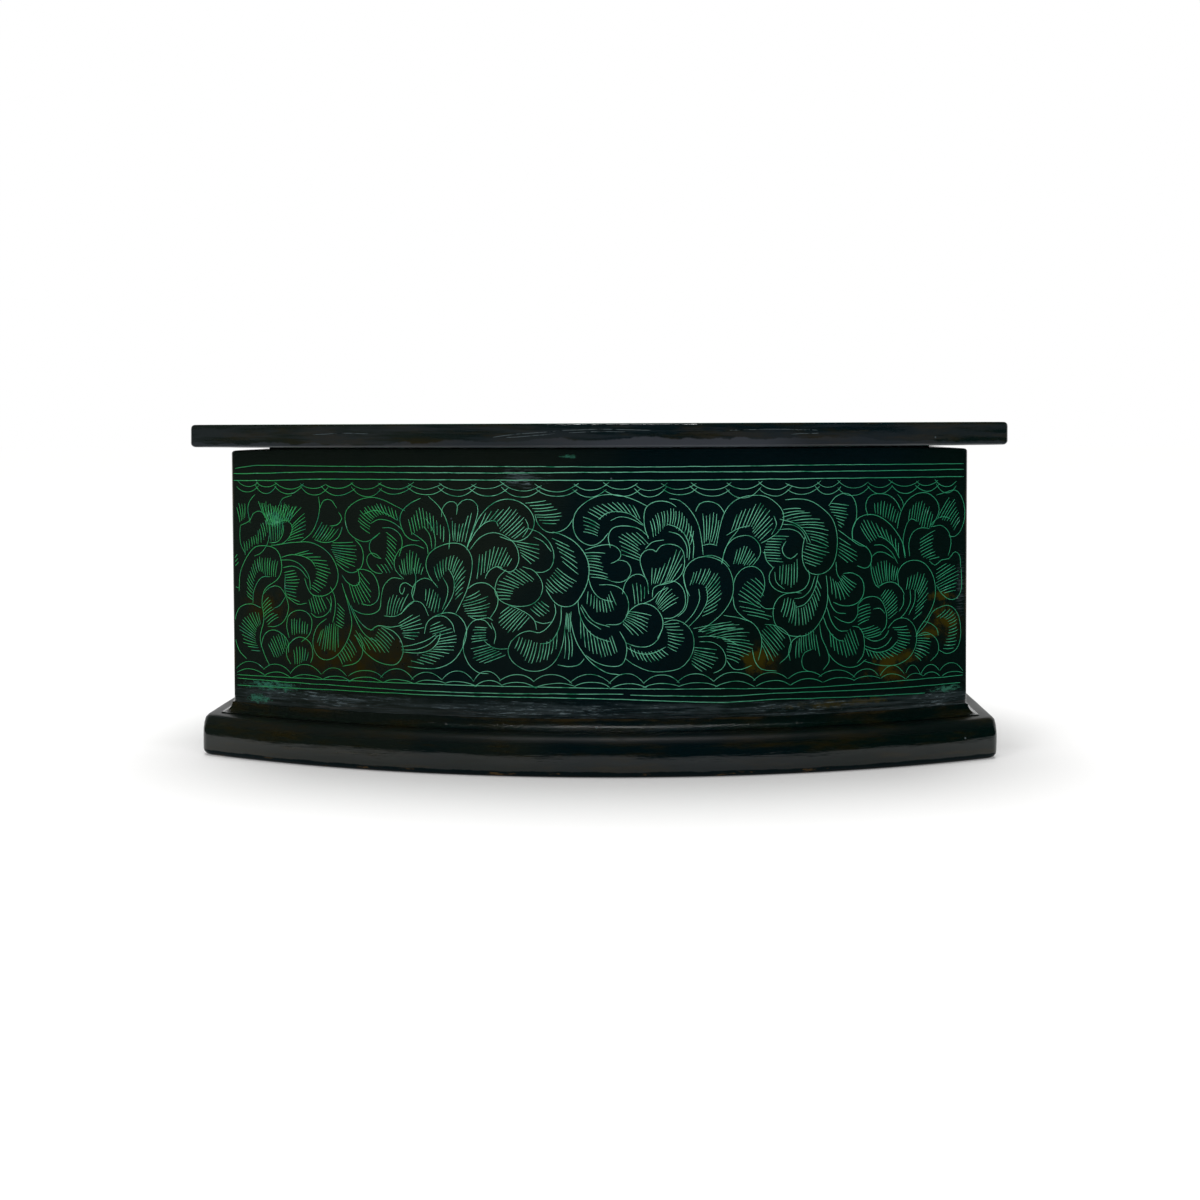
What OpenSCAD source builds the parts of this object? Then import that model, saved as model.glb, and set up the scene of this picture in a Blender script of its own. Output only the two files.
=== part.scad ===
// Bow-fronted lacquer box with a lift-off lid.
// X runs along the width, the bowed front faces -Y, and the box stands on z = 0
// with the middle of its lid over the origin.

/* [Carcass] */
// Width across the two side walls
body_w = 228; // [180:1:300]
// How far the middle of the front stands out past the front corners
bow_rise = 28; // [15:1:50]
// Length of a straight side, from the front corner to the back face
side_len = 84; // [60:1:140]
// Height of the front and back walls at the middle of the rim
wall_h = 82.7; // [50:0.1:140]
// How far the rim falls from its middle to the corners
rim_drop = 2.1; // [0.5:0.1:4]
// Thickness of the bent front wall
front_t = 8; // [6:0.5:12]
// Thickness of the side and back walls
wall_t = 8; // [6:0.5:12]
// Thickness left outside a corner rebate
lap_t = 4; // [2.5:0.5:5]
// Rounding of the four upright corners
corner_r = 1.2; // [0.4:0.1:2]

/* [Base board] */
// Thickness of the base board
base_t = 12; // [8:0.5:20]
// How far the base board stands out past the bowed front
base_front = 11; // [8:0.5:20]
// How far the base board stands out past the sides
base_side = 8; // [6.5:0.5:20]
// How far the base board stands out past the back
base_back = 8; // [6.5:0.5:20]
// Rounding of the upper front edge
base_front_r = 4; // [1:0.5:4.5]
// Rounding of the upper side and back edges
base_side_r = 2.5; // [1:0.5:3]
// Rounding of the lower edge
base_foot_r = 2; // [0.5:0.5:3]
// Rounding of the four upright corners of the base board
base_corner_r = 2; // [0.5:0.5:4]

/* [Foot cove] */
// Radius of the putty cove between walls and base board
cove_r = 3; // [1.5:0.1:3.2]
// Thickness of the cove at its feather edges
cove_lip = 0.3; // [0.2:0.1:0.6]

/* [Lid] */
// Thickness of the lid board
lid_t = 7; // [5:0.5:12]
// How far the lid stands out past the bowed front
lid_front = 11; // [4:0.5:20]
// How far the lid stands out past the sides
lid_side = 11; // [4:0.5:20]
// How far the lid stands out past the back
lid_back = 11; // [4:0.5:20]
// Rounding of the lid's upper edge
lid_top_r = 1.5; // [0.5:0.1:2.4]
// Rounding of the lid's lower edge
lid_under_r = 2; // [0.5:0.1:2.4]
// Rounding of the lid's upright corners
lid_corner_r = 2; // [0.5:0.5:4]
// Play between the lid and the middle of the rim
seat_gap = 0.3; // [0.2:0.05:0.5]

/* [Lid battens] */
// Height of the battens that hang under the lid
batten_h = 8; // [5:0.5:14]
// Thickness of the battens
batten_t = 6; // [4:0.5:10]
// Chamfer on the outer lower edge of the battens
batten_chamfer = 1.5; // [0.5:0.1:2.5]
// Play between the side battens and the side walls
batten_side_gap = 3; // [0.5:0.1:5]
// Play between the front and back battens and their walls
batten_end_gap = 1.2; // [0.5:0.1:3]

/* [Pins] */
// Diameter of the dowels between base board and walls
dowel_d = 4; // [3:0.5:4.5]
// How far the dowels reach up into the walls
dowel_in = 14; // [8:1:20]
// Diameter of the pins in the corners and battens
pin_d = 1.8; // [1.2:0.1:2.2]
// Length of the corner pins
corner_pin_len = 16; // [12:1:24]
// How far the batten pins reach up into the lid
lid_pin_in = 4; // [2:0.5:4.5]
// Depth of a pin's end below the surface that hides it
pin_sink = 1; // [0.5:0.1:1.5]

/* [Joint lines] */
// Thickness of a glue line
glue = 0.05; // [0.03:0.01:0.1]

/* [Hidden] */

// Smoothness of the long curves, the small roundings and the rim's very flat curve
$fn = 180;
edge_fn = 40;
rim_fn = 1440;

lacquer = "#11161a";
putty = "#1a1714";
bare_wood = "#8a6a45";

half_w = body_w / 2;
bow_r = (half_w * half_w + bow_rise * bow_rise) / (2 * bow_rise);
rim_r = (half_w * half_w + rim_drop * rim_drop) / (2 * rim_drop);
body_d = side_len + bow_rise;
lid_d = body_d + lid_front + lid_back;

// Front-most point of the carcass, centre of its bow, and its back face
front_y = lid_front - lid_d / 2;
bow_y = front_y + bow_r;
back_y = front_y + body_d;

rim_z = base_t + wall_h;
side_rim_z = rim_z - rim_drop;
lid_z = rim_z + seat_gap;
cove_w = cove_r + cove_lip;

// Outer faces of the lid battens
batten_x = half_w - wall_t - batten_side_gap;
batten_r = bow_r - front_t - batten_end_gap;
batten_y = back_y - wall_t - batten_end_gap;

// Longer than the box either way, for cutting tools
long = 2 * (body_w + body_d + bow_r);
cut_past = 2;

// Depth of the arc of radius r about the bow's centre, at a distance x from the middle
function arc_y(r, x) = bow_y - sqrt(r * r - x * x);

// Places shared by the dowels and their holes
front_mid_r = bow_r - front_t / 2;
front_span = half_w - wall_t;
side_front_y = arc_y(bow_r - lap_t, half_w - wall_t / 2);
side_run = back_y - wall_t - side_front_y;
dowel_spots = concat(
    [for (share = [-0.8, -0.28, 0.28, 0.8])
        [share * front_span, arc_y(front_mid_r, share * front_span)]],
    [for (share = [-0.75, 0, 0.75]) [share * front_span, back_y - wall_t / 2]],
    [for (side = [-1, 1], share = [0.35, 0.8])
        [side * (half_w - wall_t / 2), side_front_y + share * side_run]]
);

// Heights of the corner pins, and places of the batten pins
pin_heights = [for (share = [0.2, 0.5, 0.8]) base_t + share * wall_h];
batten_mid_r = batten_r - batten_t / 2;
batten_front_y = arc_y(batten_r - batten_t, batten_x - batten_t / 2);
batten_run = batten_y - batten_t - batten_front_y;
batten_pin_spots = concat(
    [for (share = [-0.85, -0.3, 0.3, 0.85])
        [share * batten_x, arc_y(batten_mid_r, share * batten_x)]],
    [for (share = [-0.8, -0.27, 0.27, 0.8])
        [share * (batten_x - batten_t), batten_y - batten_t / 2]],
    [for (side = [-1, 1], share = [0.2, 0.85])
        [side * (batten_x - batten_t / 2), batten_front_y + share * batten_run]]
);

// What lies outside a quarter circle, for rounding a corner
module round_cut(r) {
    difference() {
        square(r + cut_past);
        circle(r, $fn = edge_fn);
    }
}

// Plan of the carcass with its corners rounded, grown outwards past front, side and back
module bow_plan(past_front, past_side, past_back, round_r) {
    r = bow_r + past_front;
    x = half_w + past_side;
    y = back_y + past_back;
    centre_x = x - round_r;
    centre_y = arc_y(r - round_r, centre_x);
    along = [centre_x, centre_y - bow_y] / (r - round_r) * (round_r + cut_past);
    across = [round_r + cut_past, 0];
    difference() {
        intersection() {
            translate([0, bow_y]) circle(r);
            translate([-x, y - long]) square([2 * x, long]);
        }
        for (side = [0, 1]) mirror([side, 0]) {
            translate([centre_x, centre_y]) difference() {
                polygon([[0, 0], along, along + across, across]);
                circle(round_r, $fn = edge_fn);
            }
            translate([centre_x, y - round_r]) round_cut(round_r);
        }
    }
}

// Section of a board's edge, which ends at x = 0
module board_edge(t, top_r, foot_r) {
    difference() {
        translate([-long, 0]) square([long, t]);
        translate([-top_r, t - top_r]) round_cut(top_r);
        translate([-foot_r, foot_r]) mirror([0, 1]) round_cut(foot_r);
    }
}

// Section of the cove's hollow, which starts on a wall at x = 0
module cove_edge() {
    difference() {
        translate([-long, 0]) square([long + cove_w, cove_w]);
        translate([cove_w, cove_w]) circle(cove_r, $fn = edge_fn);
    }
}

// A section carried round the bow, along one side, or along the back
module along_bow() {
    translate([0, bow_y, 0]) rotate_extrude() intersection() {
        children();
        translate([0, -long]) square(2 * long);
    }
}
module along_side(x) {
    translate([x, long / 2, 0]) rotate([90, 0, 0]) linear_extrude(long) children();
}
module along_back(y) {
    translate([-long / 2, y, 0]) rotate([90, 0, 90]) linear_extrude(long) children();
}

// A board with the carcass's plan, larger all round, and rounded edges
module bow_board(t, past_front, past_side, past_back, front_top_r, side_top_r, foot_r, round_r) {
    r = bow_r + past_front;
    x = half_w + past_side;
    intersection() {
        along_bow() translate([r, 0]) board_edge(t, front_top_r, foot_r);
        along_side(x) board_edge(t, side_top_r, foot_r);
        mirror([1, 0, 0]) along_side(x) board_edge(t, side_top_r, foot_r);
        along_back(back_y + past_back) board_edge(t, side_top_r, foot_r);
        translate([0, 0, -cut_past]) linear_extrude(t + 2 * cut_past)
            bow_plan(past_front, past_side, past_back, round_r);
    }
}

// Everything under the rim's flat curve
module under_rim() {
    translate([0, 0, rim_z - rim_r]) rotate([90, 0, 0])
        cylinder(r = rim_r, h = long, center = true, $fn = rim_fn);
}

// A wall from the base board up, as high as the rim's middle, with rounded carcass corners
module upright(height) {
    translate([0, 0, base_t]) linear_extrude(height) intersection() {
        bow_plan(0, 0, 0, corner_r);
        children();
    }
}

module dowels(d) {
    for (spot = dowel_spots) translate([spot[0], spot[1], pin_sink])
        cylinder(d = d, h = base_t + dowel_in - pin_sink);
}

// Pins through the front laps into the side walls, and through the side laps into the back wall
module corner_pin_rods(d) {
    x = half_w - wall_t / 2;
    for (side = [-1, 1], z = pin_heights) {
        translate([side * x, arc_y(bow_r, x) + pin_sink + lap_t / 4, z])
            rotate([-90, 0, 0]) cylinder(d = d, h = corner_pin_len);
        translate([side * (half_w - pin_sink), back_y - wall_t / 2, z])
            rotate([0, -90 * side, 0]) cylinder(d = d, h = corner_pin_len);
    }
}

module batten_pin_rods(d) {
    for (spot = batten_pin_spots) translate([spot[0], spot[1], lid_z - batten_h + pin_sink])
        cylinder(d = d, h = batten_h - pin_sink + lid_pin_in);
}

// Section of a batten, with its outer face at x = 0
module batten_edge() {
    translate([0, lid_z - batten_h]) polygon([
        [-batten_t, 0], [-batten_chamfer, 0], [0, batten_chamfer], [0, batten_h],
        [-batten_t, batten_h]
    ]);
}

module base_board() {
    color(lacquer) difference() {
        bow_board(base_t, base_front, base_side, base_back,
            base_front_r, base_side_r, base_foot_r, base_corner_r);
        dowels(dowel_d + 2 * glue);
    }
}

// Bent wall whose ends lap over the front ends of the side walls
module front_wall() {
    rebate_x = half_w - wall_t - glue;
    color(lacquer) difference() {
        intersection() {
            upright(wall_h + cut_past) difference() {
                square(long, center = true);
                translate([0, bow_y]) circle(bow_r - front_t);
                for (side = [0, 1]) mirror([side, 0]) intersection() {
                    translate([0, bow_y]) circle(bow_r - lap_t);
                    translate([rebate_x, -long / 2]) square(long);
                }
            }
            under_rim();
        }
        dowels(dowel_d + 2 * glue);
        corner_pin_rods(pin_d + 2 * glue);
    }
}

// Flat wall that sits in rebates at the back ends of the side walls
module back_wall() {
    x = half_w - lap_t - glue;
    color(lacquer) difference() {
        intersection() {
            upright(wall_h + cut_past)
                translate([-x, back_y - wall_t]) square([2 * x, wall_t]);
            under_rim();
        }
        dowels(dowel_d + 2 * glue);
        corner_pin_rods(pin_d + 2 * glue);
    }
}

// Side wall whose front end fits the rebate of the bent wall
module side_wall() {
    color(lacquer) difference() {
        upright(side_rim_z - base_t) difference() {
            intersection() {
                translate([half_w - wall_t, -long / 2]) square([wall_t, long]);
                translate([0, bow_y]) circle(bow_r - lap_t - glue);
            }
            translate([0, back_y - wall_t - glue]) square([half_w - lap_t, long]);
        }
        dowels(dowel_d + 2 * glue);
        corner_pin_rods(pin_d + 2 * glue);
    }
}

module right_wall() {
    side_wall();
}

module left_wall() {
    mirror([1, 0, 0]) side_wall();
}

// One run of putty round the foot of the walls
module foot_cove() {
    color(putty) translate([0, 0, base_t]) difference() {
        intersection() {
            along_bow() translate([bow_r, 0]) cove_edge();
            along_side(half_w) cove_edge();
            mirror([1, 0, 0]) along_side(half_w) cove_edge();
            along_back(back_y) cove_edge();
        }
        translate([0, 0, -cut_past]) linear_extrude(cove_w + 2 * cut_past)
            bow_plan(glue, glue, glue, corner_r + glue);
    }
}

module base_dowels() {
    color(bare_wood) dowels(dowel_d);
}

module corner_pins() {
    color(bare_wood) corner_pin_rods(pin_d);
}

module lid_board() {
    color(lacquer) difference() {
        translate([0, 0, lid_z]) bow_board(lid_t, lid_front, lid_side, lid_back,
            lid_top_r, lid_top_r, lid_under_r, lid_corner_r);
        batten_pin_rods(pin_d + 2 * glue);
    }
}

module lid_front_batten() {
    color(lacquer) difference() {
        intersection() {
            along_bow() translate([batten_r, 0]) batten_edge();
            translate([-batten_x, back_y - long, 0]) cube([2 * batten_x, long, long]);
        }
        batten_pin_rods(pin_d + 2 * glue);
    }
}

module lid_back_batten() {
    x = batten_x - batten_t - glue;
    color(lacquer) difference() {
        intersection() {
            along_back(batten_y) batten_edge();
            translate([-x, -long / 2, 0]) cube([2 * x, long, long]);
        }
        batten_pin_rods(pin_d + 2 * glue);
    }
}

module side_batten() {
    color(lacquer) difference() {
        intersection() {
            along_side(batten_x) batten_edge();
            translate([0, bow_y, 0]) cylinder(r = batten_r - batten_t - glue, h = long);
            translate([0, batten_y - long, 0]) cube(long);
        }
        batten_pin_rods(pin_d + 2 * glue);
    }
}

module lid_right_batten() {
    side_batten();
}

module lid_left_batten() {
    mirror([1, 0, 0]) side_batten();
}

module batten_pins() {
    color(bare_wood) batten_pin_rods(pin_d);
}

base_board();
front_wall();
back_wall();
left_wall();
right_wall();
foot_cove();
base_dowels();
corner_pins();
lid_board();
lid_front_batten();
lid_back_batten();
lid_left_batten();
lid_right_batten();
batten_pins();
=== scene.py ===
"""Bow-fronted lacquer box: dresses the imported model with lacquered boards, walls and ornament."""

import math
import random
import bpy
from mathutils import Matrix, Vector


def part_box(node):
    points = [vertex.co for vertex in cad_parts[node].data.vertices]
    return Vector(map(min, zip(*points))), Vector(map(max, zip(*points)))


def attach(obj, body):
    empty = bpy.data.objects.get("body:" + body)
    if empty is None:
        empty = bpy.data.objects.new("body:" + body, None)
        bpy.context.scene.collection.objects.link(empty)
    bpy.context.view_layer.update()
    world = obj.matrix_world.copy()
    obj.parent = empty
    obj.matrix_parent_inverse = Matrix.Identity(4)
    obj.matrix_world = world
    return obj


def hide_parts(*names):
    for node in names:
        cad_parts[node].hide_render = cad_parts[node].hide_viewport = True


bl_info = {
    "name": "Bow-fronted lacquer box",
    "version": (1, 0, 0),
    "blender": (4, 5, 0),
    "location": "View3D > Sidebar > Lacquer box",
    "description": "Builds the lacquered boards and walls, the incised ornament and the stage",
    "category": "Object",
}

from collections import namedtuple

import bmesh
import bpy
from bpy.props import FloatProperty, FloatVectorProperty, IntProperty, PointerProperty
from mathutils import Matrix, Vector, noise
from mathutils.geometry import interpolate_bezier

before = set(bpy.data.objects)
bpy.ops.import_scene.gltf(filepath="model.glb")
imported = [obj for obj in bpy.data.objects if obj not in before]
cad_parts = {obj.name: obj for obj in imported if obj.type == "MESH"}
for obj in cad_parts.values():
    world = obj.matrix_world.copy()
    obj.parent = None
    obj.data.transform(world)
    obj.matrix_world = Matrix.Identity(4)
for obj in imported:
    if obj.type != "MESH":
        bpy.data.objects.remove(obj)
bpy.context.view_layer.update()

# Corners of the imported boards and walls, in metres
LID_LOW, LID_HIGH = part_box("lid_board")
# The lid's lacquer stays this little below its board, so that the pigment on it keeps inside the board
LID_TOP = LID_HIGH - Vector((0, 0, 0.00006))
BASE_LOW, BASE_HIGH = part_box("base_board")
FRONT_LOW, FRONT_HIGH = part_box("front_wall")
SIDE_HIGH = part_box("right_wall")[1]
BACK_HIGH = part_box("back_wall")[1]

MM = 0.001
# Spans of a plan loop along the bow, and cuts along each side and the back
BOW_STEPS = 84
SIDE_CUTS = 31
BACK_CUTS = 83
COVE_STEPS = 6
# Lengths below this, in metres, count as nothing
TOUCH = 1e-7
# A normal whose level part is shorter than this belongs to a level face
LEVEL_NORMAL = 0.05
# Turns between neighbouring faces, in radians: one makes a corner of the plan, one a sharp edge in shading
CORNER_TURN = 0.5
SHARP_TURN = 0.6
CORNER_SEGMENTS = 4
# Width, in metres, of the flat ring between a board's rounded edges and its large faces
FLAT_RUN = 0.0015
# Height of a board's upper front rounding as a share of its depth
FRONT_TALL = 1.45
# The lid's corner rounding and waviness as shares of the base's
LID_CORNER = 0.6
LID_WAVE = 0.7
# Noise cells per metre in the waviness of the boards, and where each board lies in the noise
WEAR_SCALE = 45
LID_SEED = 3.7
BASE_SEED = 9.1
# The rim falls with this power of the distance from the middle
RIM_POWER = 8
# Height, in metres, of the zone below the rim in which the walls follow its crown
RIM_ZONE = 0.004

# One path of the ornament in millimetres, and its width as a share of the full line
Stroke = namedtuple("Stroke", "path width")
# Hatching: strokes that run from a root curve to a curve of tips
Fan = namedtuple("Fan", "root tips")

# The incised ornament of the front, in millimetres: along the bow from its middle, and up from the floor.
# Every row of STROKES is one cut, written as along and up by turns.
STROKES = (
    # Far left
    (-115.8, 50, -115, 56.5, -110, 63.5, -105, 64.6, -100.5, 63, -99, 58, -100.5, 54.5, -105.5, 51,
     -106.7, 47, -106, 42, -107.5, 36, -106.5, 32, -104, 27.5),
    (-110.2, 46.5, -110, 50, -108.5, 53, -106.5, 54.8, -103.5, 55),
    (-101, 65, -95, 65.8, -88, 66, -82, 63, -79, 58, -79.5, 53.3, -83, 50.2, -87.5, 50, -89.5, 52, -90.6,
     55),
    (-99.5, 60.3, -95, 60.3, -91.5, 58.8, -89, 55.5, -88.5, 51.5),
    (-98.5, 58, -95, 58.6, -92, 57.6, -89.5, 55),
    (-99, 61.2, -95.4, 62.1, -91.7, 61.9, -88.1, 60.5, -86.7, 58.7),
    (-97.8, 55.5, -97.7, 50, -96, 48.5, -93, 47, -90, 47.5),
    (-106.3, 49.5, -104, 51.5, -100.5, 52.2, -98, 50, -96.6, 45.5, -98.5, 41.5, -101.5, 39.8, -104.5,
     39.6),
    (-97.8, 49, -100, 46.3, -102.3, 45.3),
    (-113, 29, -116, 31.5, -117.6, 36, -117.5, 41, -115.5, 45, -111, 46.3, -107, 45.2),
    (-107.3, 33, -106, 36.8, -103, 38.6, -99.5, 37.8, -97, 35.3, -96.8, 32),
    (-96.5, 36.5, -97.4, 40.5, -96, 44, -91.5, 45.2, -88.5, 43.2, -88.3, 40, -89.5, 37.5, -92, 35.5),
    (-96, 28.5, -97.5, 31, -97, 34, -93, 36.9, -89, 35.5, -87.9, 32, -88.8, 29.3),
    (-83, 43, -86, 40.7, -87.9, 36, -86.5, 31.8, -83, 30.5, -79, 32.4, -75.8, 36.8, -74.3, 41.5, -75, 46,
     -77.5, 54),
    (-73.5, 38.5, -71, 36, -70.9, 32.5, -73, 30, -77.5, 28.8),
    (-81.5, 52.8, -80, 49.5, -80, 45, -80.8, 42),
    (-83, 49.5, -81.5, 47.5, -81.5, 45),
    (-81.5, 50, -81.2, 47, -83, 44.3, -86.5, 43.3, -88.5, 44.5),
    (-115, 70.5, -111, 72.3, -109.8, 74.3, -107, 75.2, -104.5, 73, -103.5, 69, -104.5, 65, -107, 62.3,
     -109.5, 61.3),
    (-115, 70.5, -115.2, 67.5, -114.8, 64.5, -113.2, 62),
    (-111, 71.5, -111.9, 76, -110.8, 78.7, -109, 80.3),
    (-100.5, 71.8, -97, 72.6, -94.9, 70.5, -96, 67.5, -99, 65.3, -103, 64.8),
    (-98.1, 71, -98.5, 68.3, -100.4, 66, -103.5, 65.5),
    (-85.4, 80, -85, 76.5, -86, 72.5, -88, 69, -92, 66),
    (-99.8, 77, -98.5, 79.2, -95, 80.3),
    (-85, 76.5, -83.5, 79, -81, 79, -79, 76.7),
    (-78.5, 75.5, -77.4, 73.5, -79, 71.6, -81.5, 71.2),
    (-87, 67, -84, 66.2, -80.5, 66.6, -78.3, 68.3, -77.3, 71),
    (-73, 67.3, -70.8, 65, -70.2, 61.5, -71.5, 58.3, -75, 57.3, -79.3, 60),
    (-72, 58.3, -71.5, 54.5, -73, 53.3, -75.5, 54.2, -77.5, 56.5),
    (-118, 53, -117, 51.3, -115.8, 51),
    # Left of the middle
    (-56.5, 76.2, -60, 77.8, -63.5, 79.4, -67.5, 80, -72, 79, -75.8, 76, -76.2, 72.5, -74.5, 68.8, -70.2,
     66.7, -67, 67.6, -64.7, 69.5),
    (-70, 75, -66.5, 76.2, -62.5, 75.2, -59, 73.3),
    (-67.5, 72.3, -65, 73.5, -62, 73.2, -59, 71.8, -57, 70.2),
    (-63.8, 71, -61, 71, -58.3, 69.3, -57.5, 66.5, -58.5, 62.4),
    (-64.7, 69.4, -67.5, 67.3, -68.2, 64.8, -66.8, 62.6, -64.3, 61.7),
    (-64.5, 61.8, -66, 63, -68, 63.2, -69.1, 61.2, -68, 58.7, -66, 57.4, -64, 57.3),
    (-51.5, 80, -55, 78.2, -57.7, 75.5, -58, 72.5, -56.5, 69, -54, 67.4, -52, 67.4),
    (-49, 80.5, -46, 77.8, -43.8, 74.3, -42.6, 70, -42.8, 65),
    (-50.5, 71.5, -48.7, 69, -48.1, 65),
    (-50, 74, -47.8, 71, -47, 67.5, -47.2, 65),
    (-54.3, 69.6, -51.5, 67.9, -49.6, 66, -49.3, 63.5),
    (-45, 74.5, -44.6, 77.2, -42.5, 79, -40.3, 78.3, -40.4, 75.2),
    (-40.2, 77.5, -38.5, 79.3, -36, 79.6, -34, 77.8, -34.3, 74, -36, 69.3, -37.3, 65.5),
    (-46.3, 53.5, -49, 57, -50, 60.5, -48.7, 63.7, -45.5, 65.8, -41.5, 66.8, -38, 65.8, -35.8, 62.5,
     -35.9, 58.5, -37.5, 52.5, -40.8, 46),
    (-43, 59.3, -41.5, 56.5, -41.3, 53, -42.6, 49.5, -45.3, 45.5),
    (-44.7, 56.5, -43.3, 54, -43.4, 51, -45, 47),
    (-58.5, 64.5, -56.5, 65.6, -53.5, 66, -50.5, 65),
    (-58.3, 64.5, -60, 61.5, -59.7, 58.5, -57, 55.8),
    (-54, 59.2, -53.2, 56.5, -53.6, 53.3, -54.3, 50.5),
    (-64.4, 50, -63.5, 53.5, -61, 56, -57.5, 55.8),
    (-54, 53.3, -56.5, 54.7, -58, 54, -58.4, 52, -57.5, 51.3, -56.8, 53.3),
    (-63.5, 44.6, -60.5, 44.5, -58, 45.5, -56, 47.5, -53.8, 49.2),
    (-53.8, 49.2, -54.6, 51.5, -53.5, 54.5, -50.5, 56.2, -48, 55.5),
    (-58, 45.3, -56.2, 47.6, -53.8, 49.3, -51, 48.5, -49.3, 45),
    (-68, 40, -65.5, 41.5, -61.5, 41.2, -57.5, 42),
    (-50.6, 39.6, -49.5, 43.3, -46, 45.5, -42, 46, -39, 44.3, -37.5, 40.8, -38.5, 36.5, -41.5, 32, -46,
     29.6, -51, 29.2, -56, 29.6),
    (-58, 35.5, -54, 36.3, -50, 37.6, -47, 39.5),
    (-58, 34.5, -53, 34.9, -49.5, 36.3, -46.5, 39),
    (-57.5, 33.9, -52.5, 33.8, -48.5, 35, -46, 38, -45.7, 40),
    (-47.5, 44.8, -44.5, 45, -42, 43, -41.2, 40.3),
    (-64, 41.3, -60.5, 40, -58, 37, -57.5, 33.5, -59.5, 30.3, -63, 30, -67, 31.3, -70.5, 34, -73, 38.5),
    (-76.5, 51, -74, 45.5, -71.3, 40.3, -69, 38, -66, 37),
    (-74, 46.3, -71, 45, -67.5, 45, -65, 46.5, -64.4, 50),
    (-74.5, 47.5, -72, 43, -69, 40.5, -67, 40.3),
    (-72.5, 58.3, -70, 58.3, -67, 57, -65.1, 53, -65.5, 49.5, -68, 47.6, -71, 48),
    (-37, 53.3, -35.2, 54.6, -32.9, 55.2, -30.6, 54.6, -28.5, 52.5, -27.9, 50, -28.5, 47.5, -30.3, 44.8),
    (-36.4, 45, -34.5, 44.2, -31, 44.8, -29.5, 44),
    (-31, 28.3, -34, 28.5, -37, 31, -38.6, 35.5, -37.8, 40, -35.5, 43.7, -32, 44, -29.8, 41.5),
    (-30, 43.3, -28.7, 40, -29.2, 37),
    (-32.3, 38, -30, 36.3, -27.5, 35.6, -25, 35.8),
    # Middle, left half
    (-37.3, 64.8, -35.5, 70, -33, 75, -29, 78.7, -25, 79.8, -21, 78.8, -17.8, 76, -17, 72.5, -19, 68.8,
     -22.5, 67.5, -27.3, 68.7),
    (-36.5, 67, -34, 70.8, -31, 73.2, -28.5, 73.3, -27.7, 71.8),
    (-19.6, 74, -18.7, 71.5, -20.5, 68.7),
    (-36.4, 64.8, -33.5, 68.3, -29.5, 69.9, -25.5, 68.9, -22.3, 65.8, -21.7, 61.5, -24, 58.4, -28, 59.8),
    (-31.8, 56.3, -30.8, 58.4, -28.5, 59.9, -26.5, 59.5),
    (-16.8, 75.2, -15.8, 72.5, -13.5, 70.4, -10.5, 70.1, -7.5, 71.4, -5.6, 74),
    (-18.7, 71.2, -15.5, 70, -12.5, 67, -11.2, 63.5, -12, 60, -14.5, 58.4, -17, 58.5),
    (-17.2, 68.8, -14.3, 67.3, -12, 64.5),
    (-11.5, 70.3, -8.5, 69.3, -5, 67.2, -2, 63.5, -0.9, 59, -2, 54, -5, 49.3, -8, 48.3, -11, 49.5, -13.6,
     53.3),
    (-25.5, 59, -28, 56.3, -28.8, 52.5, -27, 49.7, -22.5, 48.3, -18, 48.9, -15.2, 51.5, -14.7, 55, -17,
     58.7, -20.5, 60),
    (-25.5, 49, -22, 47.6, -19, 46, -17, 44, -16.4, 41.5),
    (-24, 38, -21.5, 40.2, -18.5, 41.1, -15.5, 40.6, -12.5, 43, -10.8, 46.5, -11.2, 49),
    (-17, 44, -14.5, 43.3, -12, 43.8),
    (-9.1, 48.3, -9.3, 44.2, -10.7, 40.1, -12.7, 37.8, -15.5, 37.3),
    (-24, 38.2, -25, 35.3, -24, 32.3, -21, 30, -17.5, 29.2, -14, 29.9, -11, 32.3, -9, 36.5, -8, 42.5,
     -7.6, 46.5),
    (-10.3, 31.2, -7, 30.7, -4, 31.3, -2.5, 33),
    (-6.3, 44, -5.5, 40.3, -3.8, 36.3, -0.5, 32, 4, 29, 8, 28.3),
    (-4.2, 50.3, -3.8, 46.5, -2.2, 42.5, 0.5, 39.7, 5, 38),
    (-1.2, 57, 0, 53.3, 2.3, 50.8, 6, 49.8),
    (-3.6, 48.3, -1.5, 44.5, 2.5, 41.7),
    (-3.2, 48.8, 0, 44.3, 5, 42.3),
    # Middle, right half
    (16, 77.8, 12, 79.7, 7.5, 81, 3, 81, -1.5, 79.2, -4.7, 76, -5.5, 72, -4, 68.2, -0.5, 66.3, 2.5, 67.3,
     4.8, 70),
    (1.8, 73.8, 4.5, 75.8, 8, 76.2, 11.5, 75.2, 15, 72.3),
    (5.4, 73.5, 8, 74.6, 11.5, 74, 15, 72),
    (5.3, 65.5, 4.7, 68.7, 6, 71.3, 9.5, 72, 13.5, 71.2, 16.5, 68.8),
    (16.5, 68.3, 15.3, 72, 15.5, 76.8, 17.5, 78.7, 20.5, 79.2, 23, 78.6, 24.6, 77.5),
    (22.5, 79.8, 25.5, 79.3, 28.5, 76.8, 30.8, 73, 32, 68, 32.5, 63.3),
    (22, 72.4, 25, 71.4, 27.3, 69, 28.5, 65.5, 28.3, 61.8),
    (22.5, 70.2, 25.5, 69.2, 27.6, 66, 27.8, 62.5),
    (28.5, 70.5, 29.7, 67, 29.5, 62.3),
    (18.7, 64.3, 17.5, 65.1, 15.3, 64.6, 14, 62.5, 14.5, 59.5, 16.3, 55),
    (18.7, 64.3, 20, 66, 23, 66.6, 26, 65.3, 27, 62, 26.5, 58.5, 24, 55.8, 20, 54.6),
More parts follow.
